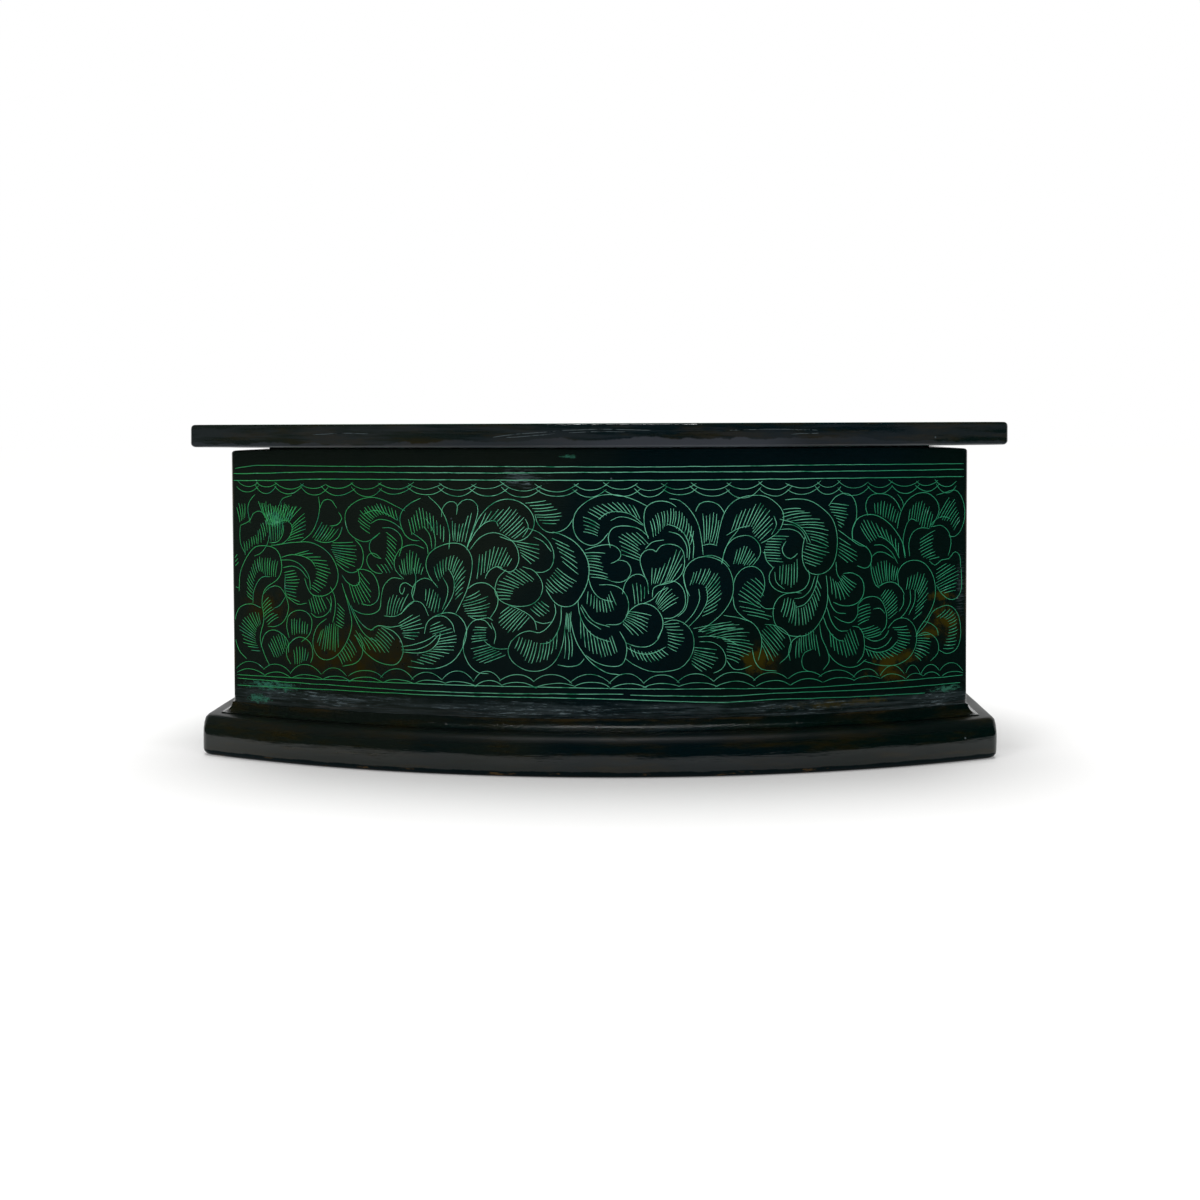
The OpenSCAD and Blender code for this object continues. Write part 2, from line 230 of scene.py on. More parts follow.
    (15.5, 65.2, 17.5, 67.2, 21, 67.8),
    (-2, 65, 1.5, 66.1, 5.2, 66.5, 7.7, 65.3, 8.4, 63.3, 7.3, 61.8, 5.5, 61),
    (7.5, 62, 10, 61.5, 11.4, 59, 10.3, 56.5, 8, 55.5, 5.5, 55.8),
    (8.8, 52, 9.5, 55, 11.5, 57.3, 14, 57.8, 16, 56, 16.4, 52),
    (2, 54.7, 5.5, 54.7, 8.5, 53.5, 10.5, 50, 10.2, 46, 8, 43.3, 4, 43.1),
    (9.8, 45.5, 11.5, 47.6, 14.5, 49.2, 18, 48.3, 20.3, 45.3, 20.5, 42, 19, 39),
    (19.5, 54.5, 23.5, 55.8, 26.3, 53.8, 27.3, 50, 26.3, 47, 23.5, 45, 20.8, 44.8),
    (26.5, 58, 27.3, 54, 28, 51, 27.3, 47.5, 25, 45.3),
    (15, 49.3, 17.7, 50.5, 19.5, 52.5, 22, 53.8),
    (17.5, 51, 17.9, 53.7, 19.5, 54.6),
    (28.5, 51.3, 27, 55, 27, 58.5, 29, 61.5, 32.5, 62.8, 36.5, 62, 39.8, 59.7, 41.4, 55.5, 41, 50.5, 38.5,
     46.5, 34.5, 43, 31, 40.7),
    (32, 62.7, 35, 63.2, 38.5, 61.7, 40.3, 59.8),
    (31.2, 53.3, 31.4, 50, 29.7, 46.3, 26.7, 43),
    (33.4, 54.3, 33.7, 50, 31.7, 46, 28.3, 42.3),
    (20.7, 43.4, 23.5, 44.3, 26.5, 43.5, 29, 41, 29.8, 37.5, 28.8, 33.5, 26, 30.3, 22, 29.2, 17, 29.3,
     12.5, 31, 9.5, 33.2),
    (9.8, 37.7, 13, 36.6, 16.5, 36.7, 19, 38.5, 20.3, 41.5),
    (10, 36.3, 13.5, 34.6, 17.5, 34.6, 21.5, 36.4),
    (-2, 34, 1.5, 31.7, 5.5, 30.7, 8.5, 31.3, 9.8, 34, 9.8, 37.5, 8, 41),
    (31, 39.2, 35.5, 39.4, 39.5, 38.3, 43, 36.5),
    (31.5, 37.9, 35.5, 37.5, 38.3, 35.3, 39.3, 32, 37.8, 29.5, 35.5, 28.5),
    (30.3, 76, 31.5, 78.3, 34, 79, 37, 78, 39, 75.5),
    (32.3, 66, 34.5, 66.5, 36.5, 66),
    # Right of the middle
    (36.5, 66, 37.3, 70.5, 38.7, 75.3, 41.5, 78.8, 46, 80.5, 51, 80.3, 55, 77.8, 56.8, 74.5, 55.5, 70.5,
     53, 68.2, 49.8, 66.5),
    (39.5, 69, 43, 71, 46.5, 71.7),
    (53.7, 74.5, 54.5, 72, 53, 69),
    (38, 61, 39.8, 66.5, 43, 70.6),
    (38, 60.5, 39, 64.7, 41, 67.6, 44, 68.8, 47, 68.5, 49.3, 66, 49.5, 63, 47.3, 60),
    (41.4, 54.3, 42.5, 57.3, 45, 59.4, 48, 59.6, 50.3, 57.5, 51, 54, 50, 50.8),
    (41.3, 51, 42, 47.5, 44.5, 44.7, 47.7, 42.7, 49.7, 39.5, 50, 36, 49, 32),
    (48.5, 49.5, 51, 47.3, 54, 47.2),
    (38.5, 45.5, 43, 44.6, 47, 43.4),
    (47.2, 35.2, 48, 31.7, 50, 29.3, 54.5, 28.6),
    (39.5, 32, 41.5, 29.6, 44, 29.4, 47, 30.5),
    (57.2, 79.2, 61, 79.5, 65, 78.8, 69, 76.4, 72, 73.2, 73.4, 68.5, 73.3, 63.5, 71.5, 58.8, 68, 57, 64.5,
     57.7, 62.7, 60.8, 62.5, 64.5, 63.2, 68),
    (55.5, 73.5, 60, 72.3, 63, 70, 65, 66.5),
    (56.3, 72, 60, 71.6, 62.7, 69.5, 64, 66.7),
    (55, 70.4, 58.5, 70.6, 61.3, 69.6, 63, 67.5),
    (57.5, 67, 56.3, 65, 57, 62.8, 59, 61.8, 61, 63.3),
    (50.8, 64.3, 51.5, 61.5, 53.5, 59.3),
    (53.8, 59.5, 52.3, 57, 53, 54, 56, 52, 60, 51.7, 63.3, 53, 64.8, 56, 64.3, 58.3),
    (54, 58, 54.5, 55, 57, 52.8),
    (62.2, 51.5, 59.5, 51.8, 56, 50.8, 54, 48.5, 53.5, 45.5, 54.5, 42, 57.5, 39.5, 61, 38.7, 64.5, 39.3,
     68, 42.7, 70, 47, 70.5, 52, 70, 56.5),
    (60, 50, 62.5, 50.2, 65, 52.3, 66.5, 56.5),
    (60.5, 47.3, 63.3, 48.2, 66, 51.7, 67.5, 56.8),
    (51, 42.5, 54.5, 42, 57.8, 39.8, 59, 36.5, 58, 33, 55.5, 30.8),
    (58.8, 31.5, 58.3, 34.5, 59.5, 37.5, 62, 39),
    (65.5, 34.7, 63.2, 33.7, 62.3, 31.3, 63, 29, 65, 28),
    (68, 42, 68.6, 38, 70.3, 34.5, 71, 31, 69, 28.3),
    (70.5, 33.5, 73, 30.7, 76.5, 29, 80, 29, 83, 31),
    (70.5, 51, 71.7, 47.5, 73.5, 45.4, 76.3, 45),
    (70.2, 47, 71.7, 42.8, 74, 40, 77, 39.8),
    (69, 44.5, 70.8, 40.2, 73.3, 37.5, 75.8, 36.7),
    (72.6, 44.3, 75, 42.8, 78, 42.3, 80, 44.3, 80.2, 47.5),
    (75.5, 57, 78.5, 57, 81.5, 55, 82.2, 51.5, 81, 48.8, 78.5, 47.5, 75, 47.4, 72.3, 48.5),
    (73.1, 60.5, 73.5, 57, 75, 54.6),
    (73.8, 70, 77, 67.8, 80.5, 65.3, 83, 64.8),
    (70.8, 77.3, 72.8, 79.8, 75.8, 80.9, 78.3, 80, 79.6, 77, 79.6, 73, 78.4, 70, 78.5, 67.5),
    # Far right
    (83.5, 74, 82.7, 77, 83.5, 79.4, 85.5, 80.5, 90, 80.2, 92.8, 78.3, 94.5, 75.3),
    (93.3, 80.3, 95, 78.3, 95.4, 76.5),
    (93.3, 70, 94.3, 74.5, 96.5, 78, 100, 80.3, 104, 80.4, 107, 78.2, 108, 75.3, 106.8, 72.5, 105, 70),
    (96, 61, 95.3, 66, 96.2, 70.5, 98, 72.8, 100, 72),
    (97.5, 61.5, 97.3, 65.5, 98.7, 68.7, 101.5, 70, 104.5, 69.7),
    (107, 79.8, 110.5, 80.6, 113.8, 81.2, 116.2, 79, 117.4, 75.5, 117.3, 72, 115.8, 68.7, 113.5, 67,
     111.5, 67.3),
    (104.5, 70.3, 106.8, 72.4, 109.5, 73.2, 112, 72.6),
    (105.5, 70.2, 108.5, 70.6, 111, 69, 112.3, 66, 112, 63, 111.3, 61.3),
    (104.5, 59.8, 106.5, 58.5, 109, 60, 111.5, 60.3, 113.8, 62.3, 115.6, 61, 116, 57.5),
    (107, 52.3, 109, 49.7, 112, 47.8, 114.7, 48.3, 116.3, 51, 116.2, 57),
    (78.5, 66.5, 78.3, 70, 80, 73.2, 83, 74.4, 86.5, 74, 90, 72, 93, 69, 95.3, 65.3, 96, 61.5),
    (86.5, 68, 89.5, 66.8, 92.3, 64.3, 94, 61),
    (85.5, 65.2, 88.3, 65.1, 91.3, 63, 93.5, 59.5),
    (84.8, 61.8, 86.5, 63, 89.3, 62.8, 92.2, 61),
    (78.3, 67.3, 80.5, 66, 83.3, 64.4, 84.7, 61.8, 84.2, 59.3, 82.5, 58.4, 80, 59.2),
    (84.4, 60, 84.8, 56.5, 86, 53.3, 87.3, 52.3),
    (87, 52.7, 89.7, 53.9, 92.5, 53.7, 94.8, 51.7, 95.8, 50),
    (93.8, 53, 93.5, 56.5, 95.5, 59.3, 99, 60.3, 102.5, 59.3, 105.3, 56.3, 106.7, 52, 106.3, 47.5, 104.5,
     43.8, 101, 39.5, 99.8, 37),
    (100, 37.5, 103.5, 40.8, 105.5, 44, 108.3, 45.6, 111.5, 46, 114.3, 44.2, 115.8, 41, 116, 36, 114.5,
     32.5, 111, 31.2, 108, 32.5),
    (97.8, 51.5, 97.8, 47.5, 96, 44.3, 94.5, 43),
    (99.5, 51.3, 99.3, 47.5, 97.3, 43.7),
    (95.5, 50, 95.4, 47, 94, 45),
    (80.2, 47.5, 82, 49.2, 85, 49.8, 87.5, 49, 89, 46.8, 89.8, 43.5, 89.3, 40.3, 87.5, 38.5),
    (85.3, 46, 87.5, 46.2, 89.2, 44.5),
    (90.2, 40, 92.5, 42.3, 95.5, 42.9, 98.5, 41.3, 100, 38, 99.7, 34, 97.5, 30.8, 93, 28.8, 87.5, 29, 82,
     30.6),
    (82, 38, 85.5, 36.3, 89, 37.3, 90.5, 39.3),
    (82.3, 35.2, 86, 34, 89.5, 35, 91.5, 37.3),
    (82.5, 34.2, 87, 32.9, 91, 33.8, 93.5, 36),
    (78.5, 41, 80.5, 40.7, 82, 38.5, 82.4, 35, 81.8, 32, 80, 30),
    (100, 37, 103, 38.2, 106, 37, 107.8, 34.5, 107.6, 31.5, 105, 29.3),
    (102.5, 41.5, 105, 40.7, 107.3, 39, 107.8, 37),
)

HATCHING = (
    # Far left
    Fan((-110.3, 47, -109.8, 53, -108, 56.5, -105, 55.5, -101, 55), (-113, 48.5, -112, 55, -109.5, 60,
        -105, 61.2, -100, 59.8)),
    Fan((-95.5, 62.2, -91, 61.8, -87, 59.5, -86.5, 56, -88.5, 52), (-90.5, 64, -86.5, 62.5, -82.5, 60.5,
        -81.5, 57, -83.5, 53, -86, 50.5)),
    Fan((-98.3, 57, -97.7, 54, -97.5, 50.5, -96, 48.5), (-94.9, 57.8, -92.9, 56, -92.2, 53.7, -94, 50,
        -91.7, 47.1)),
    Fan((-106.5, 46.8, -106.2, 43.5, -105.5, 41.5, -104, 40), (-104, 49.6, -103, 46.5, -102.3, 44.5, -99.5,
        42.8)),
    Fan((-107.2, 40.5, -109.2, 38, -109.5, 35, -107.5, 31.5), (-107.6, 44, -112.5, 43.2, -115.5, 40, -115.3,
        36, -113.5, 33.3, -110.5, 31.5)),
    Fan((-102.5, 30, -99.8, 30.8, -98, 33, -97.5, 34.5), (-105, 34, -103.3, 36, -100.5, 37.7, -97.8, 37)),
    Fan((-95.8, 37.3, -92.5, 38, -89.5, 38), (-96, 42, -92.5, 42.7, -89.2, 41)),
    Fan((-95, 28.5, -92.5, 29, -90, 30), (-95.5, 32.5, -92.5, 34.3, -89, 32.3)),
    Fan((-85.2, 39, -82.5, 41, -80, 41.5, -78.8, 40), (-87, 35.5, -84.5, 33.5, -81, 33, -78.5, 34.5)),
    Fan((-75, 37.5, -77, 34.8, -79.5, 32), (-72.3, 33.5, -74, 31, -78, 29.3)),
    Fan((-79, 48.5, -79.2, 45, -79.8, 41), (-76.5, 46, -76.7, 43.5, -77.5, 40)),
    Fan((-89.6, 48, -87.5, 49.8, -84.5, 50), (-88.8, 45, -86, 44.4, -82.3, 46)),
    Fan((-109, 65, -106.5, 65.5, -104, 69), (-108.3, 68.5, -106.8, 71.5, -104.8, 73)),
    Fan((-113.6, 61, -111.5, 63.5, -108, 65.5), (-114.2, 65, -111.8, 66.5, -108.5, 68)),
    Fan((-115.5, 71.5, -113, 73), (-116.8, 75.5, -115, 77.8, -112.5, 77.5)),
    Fan((-106, 74.5, -103.5, 71, -100, 71.5, -96, 72), (-109, 78.5, -105, 78.3, -101, 77, -97, 77.5, -91,
        76.5)),
    Fan((-95, 71.5, -95.5, 69, -97, 66), (-90.3, 76, -89.5, 72.5, -91, 67)),
    Fan((-88, 67.5, -84.5, 66.6, -81.5, 66.8), (-84.7, 72.3, -82, 71, -78, 70.3)),
    Fan((-80.5, 66.5, -80.8, 63.5, -79, 60.5), (-74, 67, -72.5, 64, -72, 60.5, -75, 58)),
    Fan((-75.5, 54, -73.5, 53.3, -71.3, 55, -71.3, 58), (-74, 48.5, -70, 47.8, -67.5, 50, -68, 54.5)),
    Fan((-118, 56.5, -118, 60.5), (-115.8, 58.5, -116.5, 62)),
    # Left of the middle
    Fan((-68, 68.8, -67.7, 71.8, -66.5, 73.8, -63.5, 75, -61, 74.2, -58.3, 73), (-71.5, 71, -71.8, 75,
        -69.5, 76.8, -66.8, 78, -62.8, 77.8, -59, 75.8)),
    Fan((-62.5, 70, -62.3, 66, -63, 61.5), (-59, 67.5, -59.5, 63, -60.8, 58)),
    Fan((-66.5, 59.8, -62.5, 60.2), (-64.5, 57.5, -60.8, 57.5)),
    Fan((-54.8, 68.7, -51.5, 71, -48, 70.3, -44.2, 66.8), (-55.8, 72.8, -52, 76.8, -48, 75.2, -44, 71)),
    Fan((-42, 67.8, -39.5, 67, -37.3, 67), (-42.3, 75, -41, 73, -38, 73.3, -36.5, 75, -35, 77)),
    Fan((-46.3, 55, -44, 58, -42.5, 59, -41, 55.5, -41, 49.5), (-48, 59.3, -44.5, 62, -41.3, 63.3, -38,
        59.8, -38.7, 51.5)),
    Fan((-58, 57.5, -55.5, 57, -53.5, 57.5, -51.3, 57), (-59, 59.5, -56.5, 63, -54.5, 64.5, -52, 62,
        -50.5, 59)),
    Fan((-63, 45, -60, 45, -57.5, 46.5), (-62, 51, -59, 50.5, -56.8, 50.5, -54.8, 52)),
    Fan((-50.5, 50, -49.2, 47, -47.2, 46, -45.8, 46.2), (-50.6, 53, -48.8, 53.3, -46.8, 52.3, -45.2,
        50.3)),
    Fan((-58.8, 42.8, -58, 41, -57, 38.2), (-54.5, 45.8, -50.7, 43.8, -51.3, 40.5, -53.8, 37.2)),
    Fan((-48.5, 42.5, -49, 40.5, -46.5, 38.5, -47, 36, -50, 34, -53, 32, -56, 31), (-46, 44, -44, 42,
        -40.5, 40, -41, 36, -44, 33, -47.5, 30.8, -52, 30.3)),
    Fan((-64, 41.3, -65.8, 40, -66.8, 38, -70, 38, -73.5, 40.3), (-60.2, 38.2, -61.5, 34.5, -64.5, 33, -67,
        33.8, -70.5, 34.5)),
    Fan((-37.5, 51, -38.5, 49, -38, 46.5, -36.5, 45), (-34.5, 53, -31, 50.8, -30.5, 48, -32, 45)),
    Fan((-31.3, 42.2, -31.8, 40, -31, 38), (-34.8, 42.4, -35.8, 39.8, -36.3, 37)),
    Fan((-30.8, 37.3, -29, 35.5, -27, 34.8, -25.8, 33.3), (-36.2, 36, -36, 34, -34.5, 32, -32, 31)),
    # Middle, left half
    Fan((-34, 71, -30, 73.6, -27.5, 72.5, -26.5, 70, -22.5, 68), (-32.3, 75.3, -28, 76.8, -22, 77, -20,
        74, -19.3, 70.5)),
    Fan((-34.8, 56.3, -32, 57.8, -29.5, 60, -27, 60, -24.6, 60.2), (-34, 62.5, -31.5, 65, -28, 66, -25.5,
        65.3, -23.3, 62)),
    Fan((-22.8, 67.8, -21.5, 65.5, -20.8, 63), (-16, 67, -14.8, 65, -16, 62.3, -18.2, 60.2)),
    Fan((-20, 79, -17.5, 77.5, -16.5, 75.5, -14.5, 72.5), (-14.5, 79.8, -10.5, 77.5, -9, 75.5, -11, 72.3)),
    Fan((-12.3, 69.3, -10.3, 66, -8.8, 62.5, -8.5, 61), (-7.3, 67, -5.3, 64, -4, 59, -3.8, 57)),
    Fan((-10, 60, -12, 57.5, -13.5, 55.5, -13.8, 53.8), (-4, 56, -6, 53.8, -9, 52.3, -12, 52)),
    Fan((-20.5, 59.5, -24, 58.5, -27, 56, -28.3, 52, -27, 50), (-16.5, 56.3, -20, 54.8, -23, 53, -24, 51,
        -24.2, 50)),
    Fan((-25, 48.5, -21, 46.5, -18.3, 44.8), (-27, 47, -27.7, 42.5, -25.5, 40.7, -21.5, 41.3)),
    Fan((-18.5, 47, -17, 49, -14.5, 50), (-15.8, 45, -13.5, 46, -12.3, 48.5)),
    Fan((-22, 39.5, -19.5, 38.5, -15, 37.5, -11.5, 39, -10, 41.5), (-23.5, 36, -20.5, 33, -16.5, 31.5,
        -12.5, 33.5, -10.3, 36.5)),
    Fan((-8.5, 40, -7, 41, -6, 40), (-9, 32.5, -7.3, 32, -5.5, 34)),
    Fan((-7.5, 46.3, -6, 46.7), (-7.7, 41, -6.3, 41)),
    Fan((-3.8, 46.5, -3, 43.5, -0.5, 40.7, 3.5, 38.5, 6, 40), (-4, 40, -2, 36.5, 1, 34.3, 4.5, 33.5, 7.5,
        35.5)),
    Fan((-1.7, 53, 0.5, 51.5, 3, 50, 5.5, 53), (-2, 49.5, 0.5, 47.2, 4, 46.5, 7.5, 48.5)),
    Fan((-2, 64.5, -1.5, 62, -1, 58.5, -0.5, 56.5), (4, 64.5, 2.8, 62, 3.5, 59, 5.5, 56.5, 6.5, 55.3)),
    # Middle, right half
    Fan((1.5, 68.7, 2.4, 72.5), (-2.3, 69.6, -3, 75.3)),
    Fan((1.8, 73.8, 6, 76, 10, 75.8, 14.5, 74), (-2.2, 76, 2, 78, 7, 78.8, 12.5, 78.3)),
    Fan((17.5, 68.3, 20, 70.5, 22.5, 72.5, 25, 71, 27.5, 69, 29, 66), (16.5, 73.3, 19, 75.8, 22.5, 77,
        25.5, 76.5, 27.5, 74.5, 30, 70)),
    Fan((17, 55, 20, 55, 23.5, 56), (16.8, 60.3, 20, 60, 22.5, 62, 25.3, 65, 26.5, 60)),
    Fan((9, 63, 8.5, 66, 7.8, 69.2, 11, 70, 13.5, 70), (13.8, 61.5, 14, 63.5, 14, 66, 15.5, 66.5, 16.5,
        67)),
    Fan((12, 49, 14, 49.5, 15.5, 51), (11.2, 54.8, 13.5, 55.3, 15.8, 54)),
    Fan((10.3, 47.2, 9.8, 45, 8.8, 43), (17, 46.3, 17, 43, 16, 40.5, 11.5, 39.5)),
    Fan((18.5, 50, 19.5, 48, 20.5, 46.5), (20.5, 54, 23, 53.5, 25, 51, 24.5, 49)),
    Fan((28, 54.3, 31, 55, 33.2, 53.5, 33.5, 49.5, 32, 45), (29, 57.8, 33, 59.5, 37.5, 57, 37.8, 51.5,
        36.5, 47)),
    Fan((20.8, 43.5, 22, 41, 22, 38.5, 22, 36), (25, 44, 26.5, 41, 26.5, 37.5, 24.5, 34.5)),
    Fan((20.5, 36, 17, 35, 13, 35.5, 10.5, 37), (23, 34, 20, 32.7, 15.5, 32, 11.5, 34)),
    Fan((30, 42, 31.5, 40.5), (40.5, 44, 45, 41)),
    Fan((30, 36.5, 29.5, 33.5, 29, 31), (36, 36, 36.5, 33, 34, 29.5, 31.5, 29)),
    Fan((32.5, 67, 34, 67.5, 36, 66.5), (31.8, 74.5, 34, 76, 36, 76, 37.5, 73)),
    # Right of the middle
    Fan((40.3, 70, 44, 71, 47.3, 71.5, 47.5, 68.8, 50, 67.3), (42, 75, 45.5, 76.8, 49.5, 78, 53, 74.5,
        53.5, 70.5)),
    Fan((41, 60.5, 43.5, 60.5, 46.5, 60), (42, 64.5, 45, 65.8, 47.5, 64, 48.5, 62)),
    Fan((42.7, 51, 43.7, 53.5, 46, 55.5, 48.7, 56.5), (47.5, 47.8, 49.5, 49.5, 50.5, 51.5, 51, 54)),
    Fan((42.8, 50.6, 43.5, 48, 46, 45), (50, 47.7, 52.3, 45.5, 53.5, 43)),
    Fan((32, 41, 35, 39.5, 39.5, 37.5, 39.5, 35, 39.5, 32.5), (41, 43.3, 45.5, 40.5, 47.5, 37, 46, 34, 43,
        31)),
    Fan((56.5, 77, 56.5, 74, 60, 72.7, 63.5, 70, 65.5, 67), (62, 77, 66.5, 74.2, 69.5, 71.5, 70.8, 67.5,
        71, 64.5)),
    Fan((64, 66.8, 63, 64.3, 62.8, 61.8, 63.5, 60), (71, 65, 70.3, 62.3, 68.5, 60.4, 66, 59)),
    Fan((54, 69, 51.5, 66.5, 50.7, 63.5, 52, 61), (58.5, 68.8, 56.3, 66.5, 55.8, 63, 56.5, 60.5)),
    Fan((55, 59.5, 57.5, 60, 60, 60.5, 61.3, 62), (55, 56, 57, 53.8, 59.5, 53.3, 61.3, 55.5)),
    Fan((56.5, 50, 59.5, 49.8, 61, 47.3, 63.5, 47.8, 66, 51, 67.3, 55.5), (55.5, 46.5, 58, 43.3, 61.3,
        41.8, 64.5, 43, 67.3, 47, 68.6, 53)),
    Fan((50.3, 35.5, 50.2, 39.5, 51, 41.8, 54, 42.3), (51.5, 31.8, 54, 31.5, 56.3, 34.5, 57, 39)),
    Fan((60.5, 37, 63, 39, 66, 40, 67, 38.5), (60, 32, 62, 33, 65, 34.5, 68.5, 32.5)),
    Fan((70.5, 41, 72.5, 38.5, 75, 37, 77, 40, 79.5, 40), (71, 36, 73, 33.5, 76, 32, 79, 32.5, 80.8, 36)),
    Fan((70.8, 56.5, 72, 55.5, 74, 54), (71.3, 51, 73.5, 49.3, 76.5, 49.5)),
    Fan((74, 54.5, 75.5, 56.8), (77, 49.5, 80, 54)),
    Fan((74, 68.5, 74, 65, 73.8, 62), (77.5, 66, 79.8, 62.5, 79, 60.3, 76.5, 60)),
    Fan((71.5, 78.5, 71, 77, 72, 75, 73.5, 73, 74, 71), (76.8, 77.8, 77, 74.5, 75.5, 71.5, 74.8, 70.2)),
    # Far right
    Fan((85.5, 75, 88, 74, 91, 72.5, 93, 71.5), (85, 78, 88, 78.3, 91, 77.5, 94, 74.5)),
    Fan((96.5, 71, 98.5, 73, 101, 71, 103, 69.8, 105, 70), (97, 75, 99.5, 78, 102, 78.3, 104, 76.5, 106,
        73.5)),
    Fan((107, 73, 110, 72, 112, 71.5, 113.5, 68.5), (111, 79, 113.5, 78, 115, 75, 115.8, 71.5)),
    Fan((101.5, 67, 101, 64, 102, 61.5, 105, 60), (106.3, 69.5, 106, 66, 106.5, 62.5, 108.5, 60.5)),
    Fan((107, 57.5, 107.2, 55, 107.5, 52, 110, 49.5), (110, 59, 114.5, 57.5, 114.8, 54, 114, 50)),
    Fan((84, 65.5, 86, 67, 89, 67, 92, 64.5, 94, 61.5), (80.5, 70.3, 82.5, 73, 87, 71.3, 91, 68.5, 94.3,
        65)),
    Fan((86.5, 53, 89, 54, 91, 54.5, 93, 54.5), (84.8, 58, 87, 60.5, 90, 60, 92.5, 59.3, 94, 58)),
    Fan((96, 51.5, 98.5, 51.5, 100.5, 50, 100, 46.5, 99, 42), (96.5, 55, 101, 56.8, 103.7, 55, 104, 50,
        102, 44)),
    Fan((87.5, 50, 88.5, 48.5, 90, 45.5, 90.5, 42.5), (89, 52, 92, 51.5, 93.5, 48, 93.3, 44.5)),
    Fan((80.3, 47, 80.3, 44, 80.5, 41), (84, 48, 84.3, 45, 84, 42.5)),
    Fan((91.5, 40.5, 93.5, 38.5, 93.5, 36, 92, 34.5, 89, 33, 85, 33.5, 82.5, 34.5), (96, 41, 98, 37.5, 97,
        34, 94, 32, 90.5, 31, 86.5, 30.8, 83.5, 32)),
    Fan((80.5, 40.5, 82, 38.5, 83.5, 37), (85.5, 41.5, 88, 39.5, 88.5, 38)),
    Fan((101, 37.5, 100, 35.5, 99.5, 33, 99.5, 31), (105, 38, 105.5, 34.5, 104, 31.5, 101, 29.3)),
    Fan((106, 42.5, 109, 42.3, 111.5, 41, 111.5, 37, 110, 34, 109.5, 32.5), (109, 44.5, 113, 44.5, 114.7,
        41.5, 114.8, 37.5, 114, 34, 113, 32.5)),
)

# Hatching cut a second time over one leaf of the front
SECOND_HATCHING = (
    Fan((-104, 71.2, -101, 70.8, -98, 72.3, -95.5, 72.3),
        (-107.3, 77.6, -103, 77.2, -98.5, 77.8, -93, 77.2)),
    Fan((-103.4, 66, -101, 66.3, -98.8, 68.2), (-104.2, 72.3, -101, 74, -97.8, 73.5)),
)

# Rim lines and foot lines of the front, drawn as the strokes are
FRONT_RULES = (
    (-117, 88.3, -112.5, 88.9, -107, 89.4, -80, 89.3, -30, 89.4, 20, 89.2, 70, 89.4, 117, 89.2),
    (-117.5, 86.7, -107, 86.9, -95.5, 87.3, -81, 87.6, -30, 87.5, 20, 87.7, 70, 87.5, 117, 87.5),
    (-117.5, 84.5, -101, 84.8, -84, 85.4, -30, 85.4, 20, 85.3, 70, 85.4, 117, 85.3),
    (-117, 23.8, -80, 24.5, -40, 24.6, -10, 24.5, 20, 24, 40, 23.8, 60, 23.3, 75, 23.5,
     95, 23.9, 117, 24.2),
    (-117, 22.7, -80, 22.8, -40, 22.4, -10, 22.6, 9, 22.6),
    (11, 22.3, 20, 22, 40, 21.6, 55, 22, 75, 21.9, 95, 21.8, 116, 22),
    (-117, 20.5, -80, 21.4, -40, 21.4, -10, 21.4, 10, 21, 25, 20.3, 40, 19.8, 53, 20.2, 70, 20, 90, 19.8,
     103, 19.6),
)
# Where the scallops of the front's borders meet, in millimetres along the bow
RIM_CUSPS = (-115.5, -108, -101, -91.5, -83, -73.5, -64.5, -55, -45, -35.5, -25.8, -15.5, -5, 4, 13, 21,
             30, 40, 49.5, 58.5, 67, 74, 83.5, 91.5, 100, 107, 114)
FOOT_CUSPS = (-117.2, -106.4, -96.4, -85.2, -75.8, -64.6, -54.6, -45.2, -35.4, -27.4, -17.1, -6.2, 4.7,
              14.7, 24.7, 35.5, 47.4, 58, 68.5, 78.5, 87.4, 95.9, 101.5, 108.2, 117)

# Depth, in metres, at which scratches lie in the lid's front edge
SCRATCH_DEPTH = 0.0001
# Pale scratches on the lid's front edge, drawn as the strokes are
LID_SCRATCHES = (
    (-28, 98.1, -22, 98.9, -15, 99.4, -6, 100, 4, 100.2, 18, 99.9),
    (-24, 98.0, -17, 98.4, -9, 99.2),
    (-6, 99.3, 3, 99.6, 10, 99.5),
    (40, 99.8, 52, 100.1, 66, 99.7),
    (58, 98.6, 67, 98.9),
    (-84, 98.9, -74, 99.3, -66, 99.1),
)

# The lengths from here to the steps are in millimetres

# Heights of the rules on the side and back walls
RULE_HEIGHTS = (89.3, 87.5, 85.3, 24.2, 22.4, 20.8)
# Rows of scallops, two under the rim and two above the foot: height, rise of the arcs, and how far each arc
# runs past its ends as a share of its length
RIM_ROWS = ((84.0, -1.4, 0.1), (82.3, -1.8, 0.13))
FOOT_ROWS = ((26.2, 2.3, 0.03), (24.7, 1.3, 0.02))
# The second foot row lies this far beside the first
FOOT_ROW_SHIFT = 0.6
# Spacing of the scallops where they are not measured
RIM_SPACING = 8.7
FOOT_SPACING = 9.7
LID_SPACING = 9
# How far in from the lid's edge its rules, its scallops with the rise of their arcs, and its leaves lie
LID_RULES = (4.5, 6.3, 8.4)
LID_SCALLOPS = ((9.6, 1.5), (11.2, 2.0))
LID_MARGIN = 14.5
# The field of leaves on the front: its foot, its height, and the half length that fits the lid
FIELD_FOOT = 28
FIELD_TALL = 53
LID_FIELD_HALF = 108
# Where the middles of the left and right walls lie in the field
SIDE_FIELD = 74
# Plain strip at the ends of the front, and of the other walls
FRONT_END = 1.0
WALL_END = 1.2
# Vertices along a stroke lie about this far apart
STROKE_STEP = 1.3
# Range of the spacing of hatching, which is measured at this share of its strokes
HATCH_SPACING = (0.85, 1.02)
HATCH_MEASURE = 0.6

